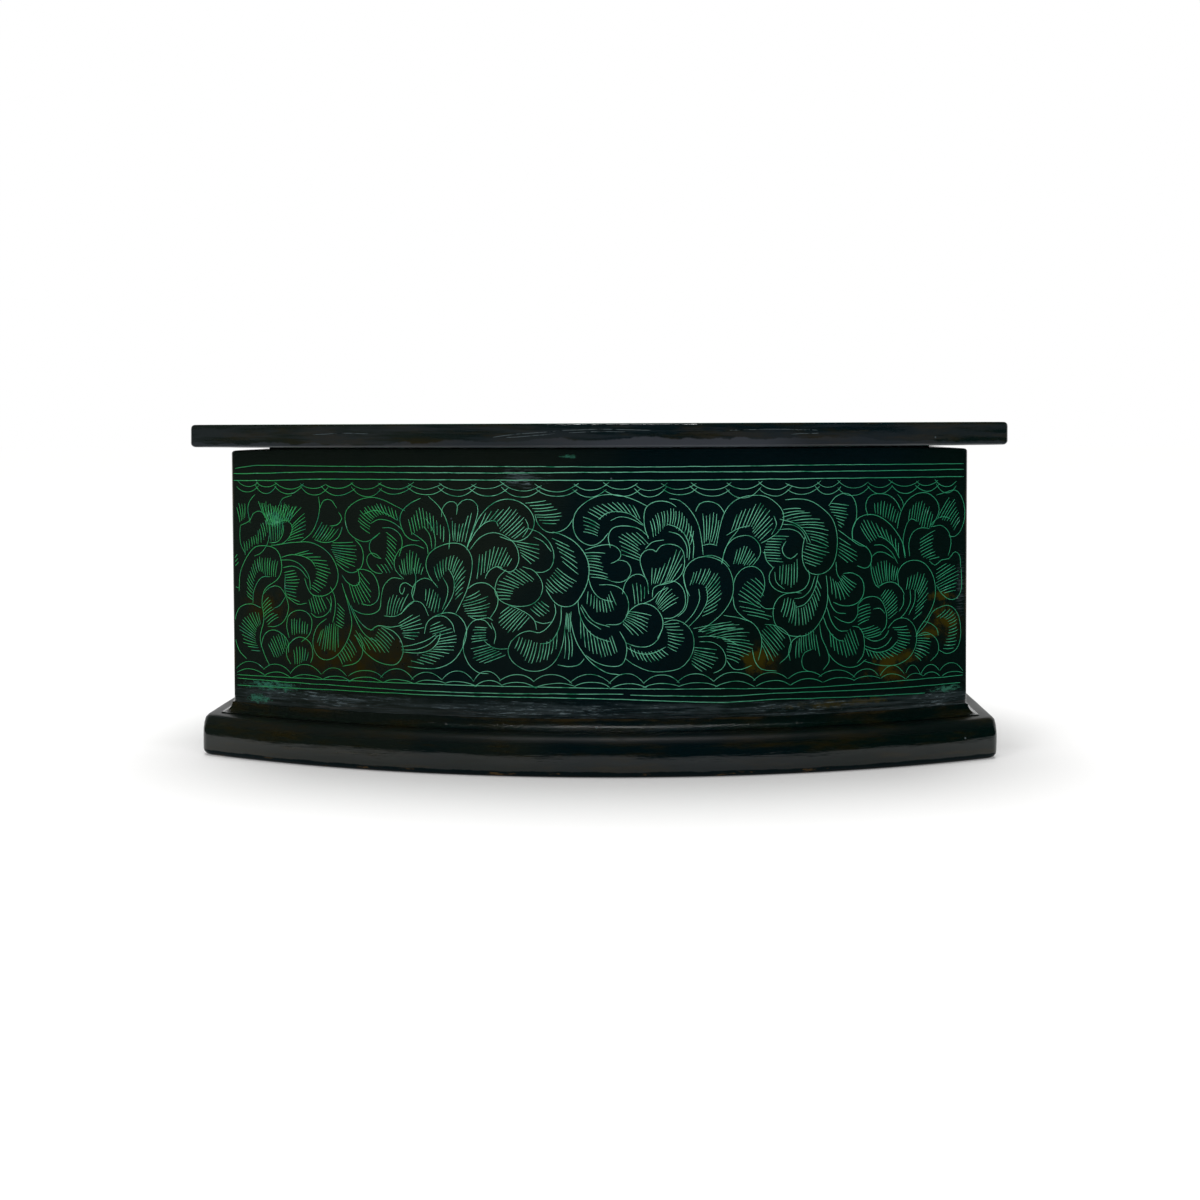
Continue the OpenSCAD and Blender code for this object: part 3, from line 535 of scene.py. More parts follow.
# Steps in which a fan is measured, a scallop is drawn, and the lid's front, sides and back are drawn
FAN_STEPS = 90
SCALLOP_STEPS = 12
LID_FRONT_STEPS = 60
LID_SIDE_STEPS = 20
LID_BACK_STEPS = 50
# Shape of a scallop: 2 is a parabola, and more is flatter in the middle
SCALLOP_POWER = 2.2
# Noise cells per millimetre in the drift of the cutter
CUTTER_SCALE = 0.2
# Width of a line's ends as a share of its own, and height of the pigment as a share of its width
TIP_WIDTH = 0.62
PIGMENT_RISE = 0.14


class LacquerBoxSizes(bpy.types.PropertyGroup):
    """Sizes of the visible pieces"""
    bow_rise: FloatProperty(
        name="Bow rise", description="How far the middle of the front stands out past its corners",
        default=0.028, min=0.015, max=0.05, unit="LENGTH")
    wall_thickness: FloatProperty(
        name="Wall thickness", description="Thickness of the four walls",
        default=0.008, min=0.006, max=0.012, unit="LENGTH")
    lap: FloatProperty(
        name="Corner lap", description="Thickness of the lap at the corners",
        default=0.004, min=0.002, max=0.006, unit="LENGTH")
    rim_drop: FloatProperty(
        name="Rim drop", description="How far the rim falls towards the corners",
        default=0.0009, min=0.0002, max=0.003, unit="LENGTH")
    rim_round: FloatProperty(
        name="Rim rounding", description="Rounding of the walls' upper edges",
        default=0.0008, min=0.0002, max=0.002, unit="LENGTH")
    wall_corner: FloatProperty(
        name="Wall corner rounding", description="Rounding of the upright corners of the walls",
        default=0.0012, min=0.0004, max=0.002, unit="LENGTH")
    base_front_round: FloatProperty(
        name="Base front rounding", description="Rounding of the base board's upper front edge",
        default=0.004, min=0.001, max=0.0045, unit="LENGTH")
    base_side_round: FloatProperty(
        name="Base side rounding", description="Rounding of the base board's upper side and back edges",
        default=0.0014, min=0.0005, max=0.003, unit="LENGTH")
    base_foot_round: FloatProperty(
        name="Base foot rounding", description="Rounding of the base board's lower edge",
        default=0.002, min=0.0005, max=0.003, unit="LENGTH")
    lid_top_round: FloatProperty(
        name="Lid upper rounding", description="Rounding of the lid's upper edge",
        default=0.0011, min=0.0005, max=0.0024, unit="LENGTH")
    lid_under_round: FloatProperty(
        name="Lid lower rounding", description="Rounding of the lid's lower edge",
        default=0.0013, min=0.0005, max=0.0024, unit="LENGTH")
    board_corner: FloatProperty(
        name="Board corner rounding", description="Rounding of the boards' upright corners",
        default=0.002, min=0.0005, max=0.004, unit="LENGTH")
    cove: FloatProperty(
        name="Cove radius", description="Radius of the putty cove at the walls' foot",
        default=0.003, min=0.0015, max=0.0032, unit="LENGTH")
    cove_lip: FloatProperty(
        name="Cove lip", description="Thickness of the cove at its feather edges",
        default=0.0003, min=0.0002, max=0.0006, unit="LENGTH")
    hand_wave: FloatProperty(
        name="Hand-worked waviness",
        description="Depth of the unevenness left by rubbing down the board edges",
        default=0.0003, min=0, max=0.001, unit="LENGTH")
    line_width: FloatProperty(
        name="Line width", description="Width of a full incised line",
        default=0.00022, min=0.0001, max=0.001, unit="LENGTH")
    ornament_seed: IntProperty(
        name="Ornament seed", description="Seed of the small unevenness of the cut lines", default=11)


class LacquerBoxColours(bpy.types.PropertyGroup):
    """Colours of the visible pieces"""
    lacquer: FloatVectorProperty(
        name="Lacquer", description="Black lacquer, with a blue cast", subtype="COLOR", size=4,
        default=(0.0003, 0.0068, 0.0086, 1))
    # Warm tone towards the left: partly the lacquer's own tone, partly a painted warm reflection on the
    # left of the front
    lacquer_warm_and_reflection: FloatVectorProperty(
        name="Warm lacquer", description="Lacquer where it has gone brown", subtype="COLOR", size=4,
        default=(0.0076, 0.0124, 0.0092, 1))
    lacquer_green: FloatVectorProperty(
        name="Green lacquer", description="Lacquer with a green cast", subtype="COLOR", size=4,
        default=(0.0006, 0.0070, 0.0054, 1))
    lacquer_gold: FloatVectorProperty(
        name="Thin lacquer", description="Lacquer where it is thin and the ground shows through",
        subtype="COLOR", size=4, default=(0.0420, 0.0330, 0.0008, 1))
    lacquer_brown: FloatVectorProperty(
        name="Brown lacquer", description="Lacquer that has faded to brown", subtype="COLOR", size=4,
        default=(0.0240, 0.0165, 0.0010, 1))
    haze: FloatVectorProperty(
        name="Haze", description="Dull bloom along the walls' foot", subtype="COLOR", size=4,
        default=(0.074, 0.102, 0.112, 1))
    smear: FloatVectorProperty(
        name="Smear", description="Pigment left between the lines when it was rubbed in",
        subtype="COLOR", size=4, min=0, max=1, default=(0.040, 0.190, 0.125, 1))
    # Painted reflection: a pale slate colour along the lid's lower edge that stands for the floor reflected
    # there
    lid_edge_reflection: FloatVectorProperty(
        name="Dull edge", description="Dulled lacquer along the lid's lower edge",
        subtype="COLOR", size=4, min=0, max=1, default=(0.044, 0.050, 0.060, 1))
    amber: FloatVectorProperty(
        name="Worn edge", description="Amber ground on the worn corners", subtype="COLOR", size=4,
        default=(0.085, 0.052, 0.020, 1))
    green_left: FloatVectorProperty(
        name="Green, left", description="Pigment in the lines towards the left", subtype="COLOR", size=4,
        default=(0.042, 0.500, 0.138, 1))
    green_middle: FloatVectorProperty(
        name="Green, middle", description="Pigment in the lines in the middle", subtype="COLOR", size=4,
        default=(0.240, 0.820, 0.530, 1))
    green_right: FloatVectorProperty(
        name="Green, right", description="Pigment in the lines towards the right", subtype="COLOR", size=4,
        default=(0.030, 0.440, 0.210, 1))
    inner: FloatVectorProperty(
        name="Inner lacquer", description="Satin lacquer inside the box and under the lid", subtype="COLOR",
        size=4, default=(0.024, 0.020, 0.017, 1))
    wood: FloatVectorProperty(
        name="Bare wood", description="Wood of the pins and dowels", subtype="COLOR", size=4,
        default=(0.42, 0.28, 0.15, 1))


def sizes():
    return bpy.context.scene.lacquer_box_sizes


def colours():
    return bpy.context.scene.lacquer_box_colours


# Plan of the box

def bow_radius():
    rise = sizes().bow_rise
    half = FRONT_HIGH.x
    return (half * half + rise * rise) / (2 * rise)


def bow_middle():
    """Depth of the bow's centre behind the front."""
    return FRONT_LOW.y + bow_radius()


def arc_y(radius, x):
    return bow_middle() - math.sqrt(radius * radius - x * x)


def rim_height(x):
    """Height of the walls' crowned rim."""
    return FRONT_HIGH.z - sizes().rim_drop * (abs(x) / FRONT_HIGH.x) ** RIM_POWER


def plan_ring(bm, radius, half, back, z):
    """One closed loop of edges with the box's plan: bowed front, straight sides and straight back."""
    kept = set(bm.edges)
    first = bm.verts.new((-half, arc_y(radius, half), z))
    sweep = 2 * math.asin(half / radius)
    turned = bmesh.ops.spin(bm, geom=[first], cent=(0, bow_middle(), 0), axis=(0, 0, 1), angle=sweep,
                            steps=BOW_STEPS)
    last = [part for part in turned["geom_last"] if isinstance(part, bmesh.types.BMVert)][0]
    right = bmesh.ops.extrude_vert_indiv(bm, verts=[last])
    right_corner = right["verts"][0]
    right_corner.co = (half, back, z)
    rear = bmesh.ops.extrude_vert_indiv(bm, verts=[right_corner])
    left_corner = rear["verts"][0]
    left_corner.co = (-half, back, z)
    left = bmesh.ops.contextual_create(bm, geom=[left_corner, first])
    bmesh.ops.subdivide_edges(bm, edges=right["edges"] + left["edges"], cuts=SIDE_CUTS)
    bmesh.ops.subdivide_edges(bm, edges=rear["edges"], cuts=BACK_CUTS)
    return [edge for edge in bm.edges if edge not in kept]


def bridge_rings(bm, rings):
    """Skins neighbouring loops and returns the faces of each skin in turn."""
    return [bmesh.ops.bridge_loops(bm, edges=low + high)["faces"] for low, high in zip(rings, rings[1:])]


def corner_edges(bm):
    """Upright edges at the four corners, where the plan turns sharply."""
    bm.normal_update()
    found = []
    for edge in bm.edges:
        if len(edge.link_faces) != 2:
            continue
        run = edge.verts[1].co - edge.verts[0].co
        flat = [Vector(face.normal.xy) for face in edge.link_faces]
        if min(side.length for side in flat) < LEVEL_NORMAL or abs(run.z) < TOUCH:
            continue
        if flat[0].angle(flat[1]) > CORNER_TURN:
            found.append(edge)
    return found


def wear_edges(bm, depth, seed):
    """Rubs the upright faces back unevenly, as handwork leaves them; nothing stands proud of its size."""
    bm.normal_update()
    moves = []
    for vert in bm.verts:
        flat = Vector((vert.normal.x, vert.normal.y, 0))
        if flat.length < LEVEL_NORMAL:
            continue
        spot = Vector((vert.co.x * WEAR_SCALE + seed, vert.co.y * WEAR_SCALE, vert.co.z * WEAR_SCALE * 3))
        share = 0.5 + 0.5 * noise.fractal(spot, 1.0, 2.0, 3)
        moves.append((vert, flat * depth * min(max(share, 0), 1)))
    for vert, move in moves:
        vert.co -= move


def round_corners(bm, edges, width):
    bmesh.ops.bevel(bm, geom=edges, offset=width, offset_type="OFFSET", affect="EDGES",
                    segments=CORNER_SEGMENTS, profile=0.5, material=-1, clamp_overlap=True)


def link_mesh(bm, name, materials):
    """Turns a bmesh into an object of the scene."""
    mesh = bpy.data.meshes.new(name)
    bm.to_mesh(mesh)
    bm.free()
    for material in materials:
        mesh.materials.append(material)
    made = bpy.data.objects.new(name, mesh)
    bpy.context.scene.collection.objects.link(made)
    return made


def finish_piece(bm, name, body, nodes, materials):
    """Turns a bmesh into a piece that rides on a body and stands for CAD nodes."""
    bmesh.ops.remove_doubles(bm, verts=bm.verts, dist=TOUCH)
    bmesh.ops.recalc_face_normals(bm, faces=bm.faces)
    piece = link_mesh(bm, name, materials)
    for face in piece.data.polygons:
        face.use_smooth = True
    piece.data.set_sharp_from_angle(angle=SHARP_TURN)
    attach(piece, body)
    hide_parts(*nodes)


def rounded_in(z, top, radius, tall):
    """How far a rounded upper edge has drawn in at height z."""
    up = (z - (top - tall)) / tall
    if up <= 0:
        return 0.0
    return radius * (1 - math.sqrt(max(1 - up * up, 0)))


def bow_board(low, high, front_round, side_round, foot_round, corner_round, wave, seed):
    """A board with the box's plan, rounded edges and softened corners."""
    bm = bmesh.new()
    radius = bow_middle() - low.y
    turns = [math.radians(angle) for angle in range(0, 91, 15)]
    front_tall = front_round * FRONT_TALL
    # Each level is a height and how far the front and the sides are drawn in there
    levels = [(low.z, foot_round + FLAT_RUN, foot_round + FLAT_RUN)]
    for turn in turns:
        inset = foot_round * (1 - math.sin(turn))
        levels.append((low.z + foot_round * (1 - math.cos(turn)), inset, inset))
    upright = high.z - front_tall - low.z - foot_round
    heights = [low.z + foot_round + share * upright for share in (0.33, 0.66, 1.0)]
    heights += [high.z - front_tall * (1 - math.sin(turn)) for turn in turns[1:]]
    for z in heights:
        levels.append((z, rounded_in(z, high.z, front_round, front_tall),
                       rounded_in(z, high.z, side_round, side_round)))
    levels.append((high.z, front_round + FLAT_RUN, side_round + FLAT_RUN))
    rings = [plan_ring(bm, radius - front, high.x - side, high.y - side, z) for z, front, side in levels]
    bridge_rings(bm, rings)
    bmesh.ops.contextual_create(bm, geom=rings[0])
    bmesh.ops.contextual_create(bm, geom=rings[-1])
    bmesh.ops.recalc_face_normals(bm, faces=bm.faces)
    round_corners(bm, corner_edges(bm), corner_round)
    wear_edges(bm, wave, seed)
    return bm


# Walls

def wall_shell():
    """The four walls in one skin: outside, rounded rim, and the inside as a second material."""
    bm = bmesh.new()
    size = sizes()
    half = FRONT_HIGH.x
    back = BACK_HIGH.y
    foot = FRONT_LOW.z
    round_r = size.rim_round
    thick = size.wall_thickness
    turns = [math.radians(angle) for angle in (0, 30, 60, 90)]
    # Each level is an inset, and either a height or how far it lies below the rim
    levels = [(0, foot, None)]
    levels += [(0, foot + share * (SIDE_HIGH.z - foot - RIM_ZONE), None) for share in (0.25, 0.5, 0.75, 1)]
    levels += [(round_r * (1 - math.cos(turn)), None, round_r * (1 - math.sin(turn))) for turn in turns]
    levels += [(thick - round_r * (1 - math.cos(turn)), None, round_r * (1 - math.sin(turn)))
               for turn in reversed(turns)]
    levels += [(thick, foot + 0.5 * (SIDE_HIGH.z - foot), None), (thick, foot, None)]
    rings = []
    for inset, z, fall in levels:
        ring = plan_ring(bm, bow_radius() - inset, half - inset, back - inset, z if z is not None else 0)
        if fall is not None:
            for vert in set(vert for edge in ring for vert in edge.verts):
                vert.co.z = rim_height(vert.co.x) - fall
        rings.append(ring)
    skins = bridge_rings(bm, rings)
    for skin in skins[-3:]:
        for face in skin:
            face.material_index = 1
    bridge_rings(bm, [rings[-1], rings[0]])
    bmesh.ops.recalc_face_normals(bm, faces=bm.faces)
    # The outer corners, up to the top of the rounded rim
    outer = [edge for edge in corner_edges(bm)
             if max(abs(vert.co.x) for vert in edge.verts) > half - size.rim_round * 1.1]
    round_corners(bm, outer, size.wall_corner)
    return bm


def keep_side(bm, point, normal):
    """Cuts away what the normal points at and closes the cut."""
    cut = bmesh.ops.bisect_plane(bm, geom=bm.verts[:] + bm.edges[:] + bm.faces[:], dist=TOUCH,
                                 plane_co=point, plane_no=normal, clear_outer=True)
    edges = [part for part in cut["geom_cut"] if isinstance(part, bmesh.types.BMEdge)]
    bmesh.ops.holes_fill(bm, edges=edges, sides=0)


def wall_cuts():
    """Joint planes on the right, each a point and a normal that points back.

    One lies behind the front lap, the other across the back corner.
    """
    half = FRONT_HIGH.x
    back = BACK_HIGH.y
    thick = sizes().wall_thickness
    lap = sizes().lap
    front = Vector((half, arc_y(bow_radius() - lap, half), 0))
    inner = Vector((half - thick, arc_y(bow_radius() - thick, half - thick), 0))
    rear = Vector((half - lap, back, 0))
    rear_inner = Vector((half - thick, back - thick, 0))
    run = inner - front
    rear_run = rear - rear_inner
    front_no = Vector((run.y, -run.x, 0))
    rear_no = Vector((-rear_run.y, rear_run.x, 0))
    return (front, front_no if front_no.y >= 0 else -front_no,
            rear, rear_no if rear_no.y >= 0 else -rear_no)


# Ornament

def pairs(row):
    return list(zip(row[0::2], row[1::2]))


def smooth(points):
    """A rounded path through given points, with a vertex about every STROKE_STEP."""
    knots = [Vector((along, up, 0)) for along, up in points]
    last = len(knots) - 1
    path = [knots[0]]
    for index in range(last):
        start = knots[index]
        end = knots[index + 1]
        reach = (end - start).length / 3
        leave = (end - knots[max(index - 1, 0)]).normalized() * reach
        arrive = (knots[min(index + 2, last)] - start).normalized() * reach
        spans = max(math.ceil((end - start).length / STROKE_STEP), 2)
        path += interpolate_bezier(start, start + leave, end - arrive, end, spans + 1)[1:]
    return path


def at_share(path, share):
    """Point at a share of a path's length."""
    steps = [(after - before).length for before, after in zip(path, path[1:])]
    left = share * sum(steps)
    for index, step in enumerate(steps):
        if left <= step or index == len(steps) - 1:
            return path[index].lerp(path[index + 1], left / max(step, 1e-9))
        left -= step


def wander(path, dice, amount):
    """The small drift of a hand-held cutter."""
    shift = Vector((dice.uniform(-50, 50), dice.uniform(-50, 50), 0))
    return [point + amount * Vector((noise.noise(point * CUTTER_SCALE + shift),
                                     noise.noise(point * CUTTER_SCALE - shift), 0)) for point in path]


def cut_lines(rows, dice, drift=0.1, weight=0.92):
    """Strokes along rows of points, with a hand's drift in millimetres and their weight as a share."""
    return [Stroke(wander(smooth(pairs(row)), dice, drift), weight * dice.uniform(0.8, 1.0))
            for row in rows]


def cut_hatching(fans, dice):
    """Strokes across each fan, evenly far apart when measured square to their own run."""
    strokes = []
    for fan in fans:
        root = smooth(pairs(fan.root))
        tips = smooth(pairs(fan.tips))
        shares = [step / FAN_STEPS for step in range(FAN_STEPS + 1)]
        runs = [(at_share(root, share), at_share(tips, share)) for share in shares]
        reach = [0.0]
        for before, after in zip(runs, runs[1:]):
            moved = after[0].lerp(after[1], HATCH_MEASURE) - before[0].lerp(before[1], HATCH_MEASURE)
            reach.append(reach[-1] + abs((after[1] - after[0]).normalized().cross(moved).z))
        count = max(round(reach[-1] / dice.uniform(*HATCH_SPACING)), 3)
        curl = dice.uniform(-0.04, 0.04)
        for index in range(count):
            wanted = reach[-1] * (index + dice.uniform(0.42, 0.58)) / count
            start, end = next(run for run, far in zip(runs, reach) if far >= wanted)
            run = end - start
            start = start - run * dice.uniform(-0.04, 0.06)
            end = end + run * dice.uniform(-0.12, 0.07)
            bend = Vector((-run.y, run.x, 0)) * (curl + dice.uniform(-0.012, 0.012))
            route = [start, start.lerp(end, 0.35) + bend, start.lerp(end, 0.7) + bend, end]
            strokes.append(Stroke(route, dice.uniform(0.82, 1.0)))
    return strokes


def scallop(start, end, out, over, dice):
    """One arc of a border, which runs past its neighbours by up to the share over."""
    first = -dice.uniform(0.2, 1.0) * over
    last = 1 + dice.uniform(0.2, 1.0) * over
    path = []
    for step in range(SCALLOP_STEPS + 1):
        share = first + (last - first) * step / SCALLOP_STEPS
        path.append(start.lerp(end, share) + out * (1 - abs(2 * share - 1) ** SCALLOP_POWER))
    return Stroke(wander(path, dice, 0.2), dice.uniform(0.6, 0.85))


def border_rows(cusps, height, out, over, dice):
    """A row of scallops along a wall."""
    jitter = [height + dice.uniform(-0.45, 0.35) for cusp in cusps]
    strokes = []
    for index in range(len(cusps) - 1):
        start = Vector((cusps[index] + dice.uniform(-0.5, 0.5), jitter[index], 0))
        end = Vector((cusps[index + 1] + dice.uniform(-0.5, 0.5), jitter[index + 1], 0))
        strokes.append(scallop(start, end, Vector((0, out * dice.uniform(0.75, 1.2), 0)), over, dice))
    return strokes


def wall_borders(rim_cusps, foot_cusps, dice):
    """Both rows of scallops under the rim and both rows above the foot."""
    strokes = []
    for row in RIM_ROWS:
        strokes += border_rows(rim_cusps, *row, dice)
    for index, row in enumerate(FOOT_ROWS):
        strokes += border_rows([cusp + index * FOOT_ROW_SHIFT for cusp in foot_cusps], *row, dice)
    return strokes


def straight_rule(half, height, dice):
    """A rule across a wall, drawn with a little drift."""
    steps = max(round(half / 4), 2)
    run = [Vector((half * (step / steps - 1), height, 0)) for step in range(2 * steps + 1)]
    return Stroke(wander(run, dice, 0.15), dice.uniform(0.9, 1.0))


def even_cusps(half, spacing, dice):
    """Places at which scallops meet, nearly even, from end to end of a wall."""
    count = max(round(2 * half / spacing), 2)
    return [-half + 2 * half * index / count + (dice.uniform(-0.6, 0.6) if 0 < index < count else 0)
            for index in range(count + 1)]


def within(strokes, half):
    """Cuts strokes off at a panel's ends."""
    kept = []
    for stroke in strokes:
        run = []
        for point in stroke.path + [None]:
            if point is not None and abs(point.x) <= half:
                run.append(point)
                continue
            if len(run) > 1:
                kept.append(Stroke(run, stroke.width))
            run = []
    return kept


def shifted(strokes, along, mirror):
    """Strokes with another part of the field in the middle, and turned round where mirror is -1."""
    moved = []
    for stroke in strokes:
        path = [Vector((mirror * (point.x - along), point.y, 0)) for point in stroke.path]
        moved.append(Stroke(path, stroke.width))
    return moved


def engraving(name, body, strokes, place, material):
    """Makes strokes solid, as thin fillings of pigment, and lays them on a surface."""
    curve = bpy.data.curves.new(name, "CURVE")
    curve.dimensions = "3D"
    curve.twist_mode = "Z_UP"
    curve.bevel_mode = "ROUND"
    curve.bevel_depth = sizes().line_width / MM / 2
    curve.bevel_resolution = 0
    curve.use_fill_caps = True
    for stroke in strokes:
        spline = curve.splines.new("POLY")
        last = len(stroke.path) - 1
        spline.points.add(last)
        for index, point in enumerate(stroke.path):
            spline.points[index].co = (point.x, point.y, 0, 1)
            spline.points[index].radius = stroke.width * (TIP_WIDTH if index in (0, last) else 1.0)
    drawn = bpy.data.objects.new(name + "_path", curve)
    bpy.context.scene.collection.objects.link(drawn)
    graph = bpy.context.evaluated_depsgraph_get()
    mesh = bpy.data.meshes.new_from_object(drawn.evaluated_get(graph), depsgraph=graph)
    bpy.data.objects.remove(drawn)
    bpy.data.curves.remove(curve)
    mesh.name = name
    for vert in mesh.vertices:
        vert.co = place(vert.co.x * MM, vert.co.y * MM, vert.co.z * MM * PIGMENT_RISE)
    mesh.update()
    mesh.materials.clear()
    mesh.materials.append(material)
    piece = bpy.data.objects.new(name, mesh)
    bpy.context.scene.collection.objects.link(piece)
    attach(piece, body)


def on_bow(angle, reach, up):
    """A place at an angle and a reach from the bow's centre."""
    return Vector((reach * math.sin(angle), bow_middle() - reach * math.cos(angle), up))


# Places on each ornamented surface, from lengths along it, up it and out of it

def on_front(along, up, out):
    return on_bow(along / bow_radius(), bow_radius() + out, up)


def side_middle():
    return (arc_y(bow_radius(), FRONT_HIGH.x) + BACK_HIGH.y) / 2


def on_left(along, up, out):
    return Vector((-FRONT_HIGH.x - out, side_middle() - along, up))


def on_right(along, up, out):
    return Vector((FRONT_HIGH.x + out, side_middle() + along, up))


def on_back(along, up, out):
    return Vector((-along, BACK_HIGH.y + out, up))


def on_lid_edge(along, up, out):
    reach = bow_middle() - LID_LOW.y - SCRATCH_DEPTH + out
    return on_bow(along / reach, reach, up)


def on_lid(along, up, out):
    return Vector((along, up, LID_TOP.z + out))


def field(dice):
    """The leaves of the front."""
    return cut_lines(STROKES, dice) + cut_hatching(HATCHING, dice)


def lid_front_y(x):
    """Front edge of the lid's top, in millimetres."""
    radius = bow_middle() - LID_LOW.y
    return arc_y(radius, abs(x) * MM) / MM


def lid_outline(inset):
    """Outline of the lid's top drawn in by an inset, in millimetres, front first."""
    radius = (bow_middle() - LID_LOW.y) / MM - inset
    half = LID_HIGH.x / MM - inset
    back = LID_HIGH.y / MM - inset
    middle = bow_middle() / MM
    sweep = math.asin(half / radius)
    front = []
    for step in range(LID_FRONT_STEPS + 1):
        angle = sweep * (2 * step / LID_FRONT_STEPS - 1)
        front.append(Vector((radius * math.sin(angle), middle - radius * math.cos(angle), 0)))
    right_corner = Vector((half, back, 0))
    side_shares = [step / LID_SIDE_STEPS for step in range(LID_SIDE_STEPS + 1)]
    right = [front[-1].lerp(right_corner, share) for share in side_shares]
    rear = [Vector((half - 2 * half * step / LID_BACK_STEPS, back, 0))
            for step in range(LID_BACK_STEPS + 1)]
    left = [rear[-1].lerp(front[0], share) for share in side_shares]
    return front, right, rear, left


def lid_strokes(dice):
    """Ornament of the lid: rules and scallops round the edge, and the leaves in two facing rows."""
    strokes = []
    for inset in LID_RULES:
        for run in lid_outline(inset):
            strokes.append(Stroke(wander(run, dice, 0.15), dice.uniform(0.9, 1.0)))
    for inset, sag in LID_SCALLOPS:
        for run in lid_outline(inset):
            length = sum((after - before).length for before, after in zip(run, run[1:]))
            count = round(length / LID_SPACING)
            spots = [at_share(run, index / count) for index in range(count + 1)]
            for start, end in zip(spots, spots[1:]):
                along = end - start
                out = Vector((-along.y, along.x, 0)).normalized() * sag * dice.uniform(0.85, 1.15)
                strokes.append(scallop(start, end, out, 0.1, dice))
    leaves = within(field(dice), LID_FIELD_HALF)
    back = LID_HIGH.y / MM - LID_MARGIN
    for stroke in leaves:
        front_path = []
        back_path = []
        for point in stroke.path:
            depth = (point.y - FIELD_FOOT) / FIELD_TALL
            front = lid_front_y(point.x) + LID_MARGIN
            room = (back - front) / 2
            front_path.append(Vector((point.x, front + depth * room, 0)))
            back_path.append(Vector((-point.x, back - depth * room, 0)))
        strokes.append(Stroke(front_path, stroke.width))
        strokes.append(Stroke(back_path, stroke.width))
    return strokes


# Materials

def new_material(name):
    material = bpy.data.materials.new(name)
    material.use_nodes = True
    tree = material.node_tree
    tree.nodes.clear()
    shader = tree.nodes.new("ShaderNodeBsdfPrincipled")
    output = tree.nodes.new("ShaderNodeOutputMaterial")
    tree.links.new(shader.outputs["BSDF"], output.inputs["Surface"])
    place = tree.nodes.new("ShaderNodeTexCoord").outputs["Object"]
    return material, tree, shader, place


def add_noise(tree, place, scale, detail=3.0, roughness=0.55, stretch=(1, 1, 1)):
    """Noise on Object coordinates, stretched by a mapping; returns the value."""
    mapping = tree.nodes.new("ShaderNodeMapping")
    mapping.inputs["Scale"].default_value = stretch
    tree.links.new(place, mapping.inputs["Vector"])
    node = tree.nodes.new("ShaderNodeTexNoise")
    node.inputs["Scale"].default_value = scale
    node.inputs["Detail"].default_value = detail
    node.inputs["Roughness"].default_value = roughness
    tree.links.new(mapping.outputs["Vector"], node.inputs["Vector"])
    return node.outputs["Fac"]


def add_range(tree, value, low, high, to_low=0.0, to_high=1.0):
    """Takes a value softly from one range to another."""
    node = tree.nodes.new("ShaderNodeMapRange")
    node.interpolation_type = "SMOOTHSTEP"
    node.inputs["From Min"].default_value = low
    node.inputs["From Max"].default_value = high
    node.inputs["To Min"].default_value = to_low
    node.inputs["To Max"].default_value = to_high
    tree.links.new(value, node.inputs["Value"])
    return node.outputs["Result"]


def add_math(tree, kind, first, second):
    """Arithmetic on two values; each is a socket or a plain number."""
    node = tree.nodes.new("ShaderNodeMath")
    node.operation = kind
    for socket, value in zip(node.inputs, (first, second)):
        if isinstance(value, (int, float)):
            socket.default_value = value
        else:
            tree.links.new(value, socket)
    return node.outputs["Value"]


def add_mix(tree, share, first, second):
    """Goes from a first colour to a second; each is a socket or a plain colour."""
    node = tree.nodes.new("ShaderNodeMix")
    node.data_type = "RGBA"
    tree.links.new(share, node.inputs["Factor"])
    for socket, value in ((node.inputs[6], first), (node.inputs[7], second)):
        if isinstance(value, bpy.types.NodeSocket):
            tree.links.new(value, socket)
        else:
            socket.default_value = tuple(value)
    return node.outputs[2]


def add_spot(tree, place, centre, reach):
    """Soft patch round a place, with its reach along each axis in metres."""
    mapping = tree.nodes.new("ShaderNodeMapping")
    mapping.inputs["Scale"].default_value = tuple(1 / axis for axis in reach)
    mapping.inputs["Location"].default_value = tuple(-at / axis for at, axis in zip(centre, reach))
    tree.links.new(place, mapping.inputs["Vector"])
    ball = tree.nodes.new("ShaderNodeTexGradient")
    ball.gradient_type = "SPHERICAL"
    tree.links.new(mapping.outputs["Vector"], ball.inputs["Vector"])
    return ball.outputs["Fac"]


def add_bump(tree, shader, layers):
    """Chains bumps, each a height and its distance in metres, into the shader's normal."""
    normal = None
    for height, distance in layers:
        bump = tree.nodes.new("ShaderNodeBump")
        bump.inputs["Strength"].default_value = 1.0
        bump.inputs["Distance"].default_value = distance
        tree.links.new(height, bump.inputs["Height"])
        if normal is not None:
            tree.links.new(normal, bump.inputs["Normal"])
        normal = bump.outputs["Normal"]
    tree.links.new(normal, shader.inputs["Normal"])


# Patches of the front in millimetres, as along, up, half length, half height
BROWN_PATCHES = ((-74, 33, 40, 13), (-104, 46, 16, 11), (50, 32, 10, 9), (91, 27, 14, 7), (110, 41, 12, 10))
GOLD_PATCHES = ((48.5, 32, 9, 8), (68, 18, 30, 2.6), (84, 18.4, 14, 2), (96, 30, 18, 6), (88, 26, 11, 4),
                (110.5, 42, 9, 10), (105, 38, 14, 4), (108, 49, 12, 3))
HAZE_PATCHES = ((-14, 18.2, 60, 5), (34, 18.2, 32, 4.5), (-80, 18.6, 52, 4), (-104, 18.5, 30, 5),
                (110, 18, 18, 7), (-21, 86.5, 12, 6), (116, 52, 5, 26))
# Places of pale flecks, which are partly dust and partly painted sparkles of light along the foot
DUST_AND_SPARKLE_PATCHES = ((-10, 17.6, 62, 4.5), (-84, 18.7, 50, 4), (60, 17.8, 36, 4), (108, 17.5, 16, 5),
                 (-20, 86, 12, 6))
SMUDGES = ((-101.5, 72.8, 9, 7), (-103, 21.2, 27, 4.6), (-108.5, 17, 14, 4.2), (111, 20.5, 14, 3.2),
           (-7, 92.3, 7, 1.6))

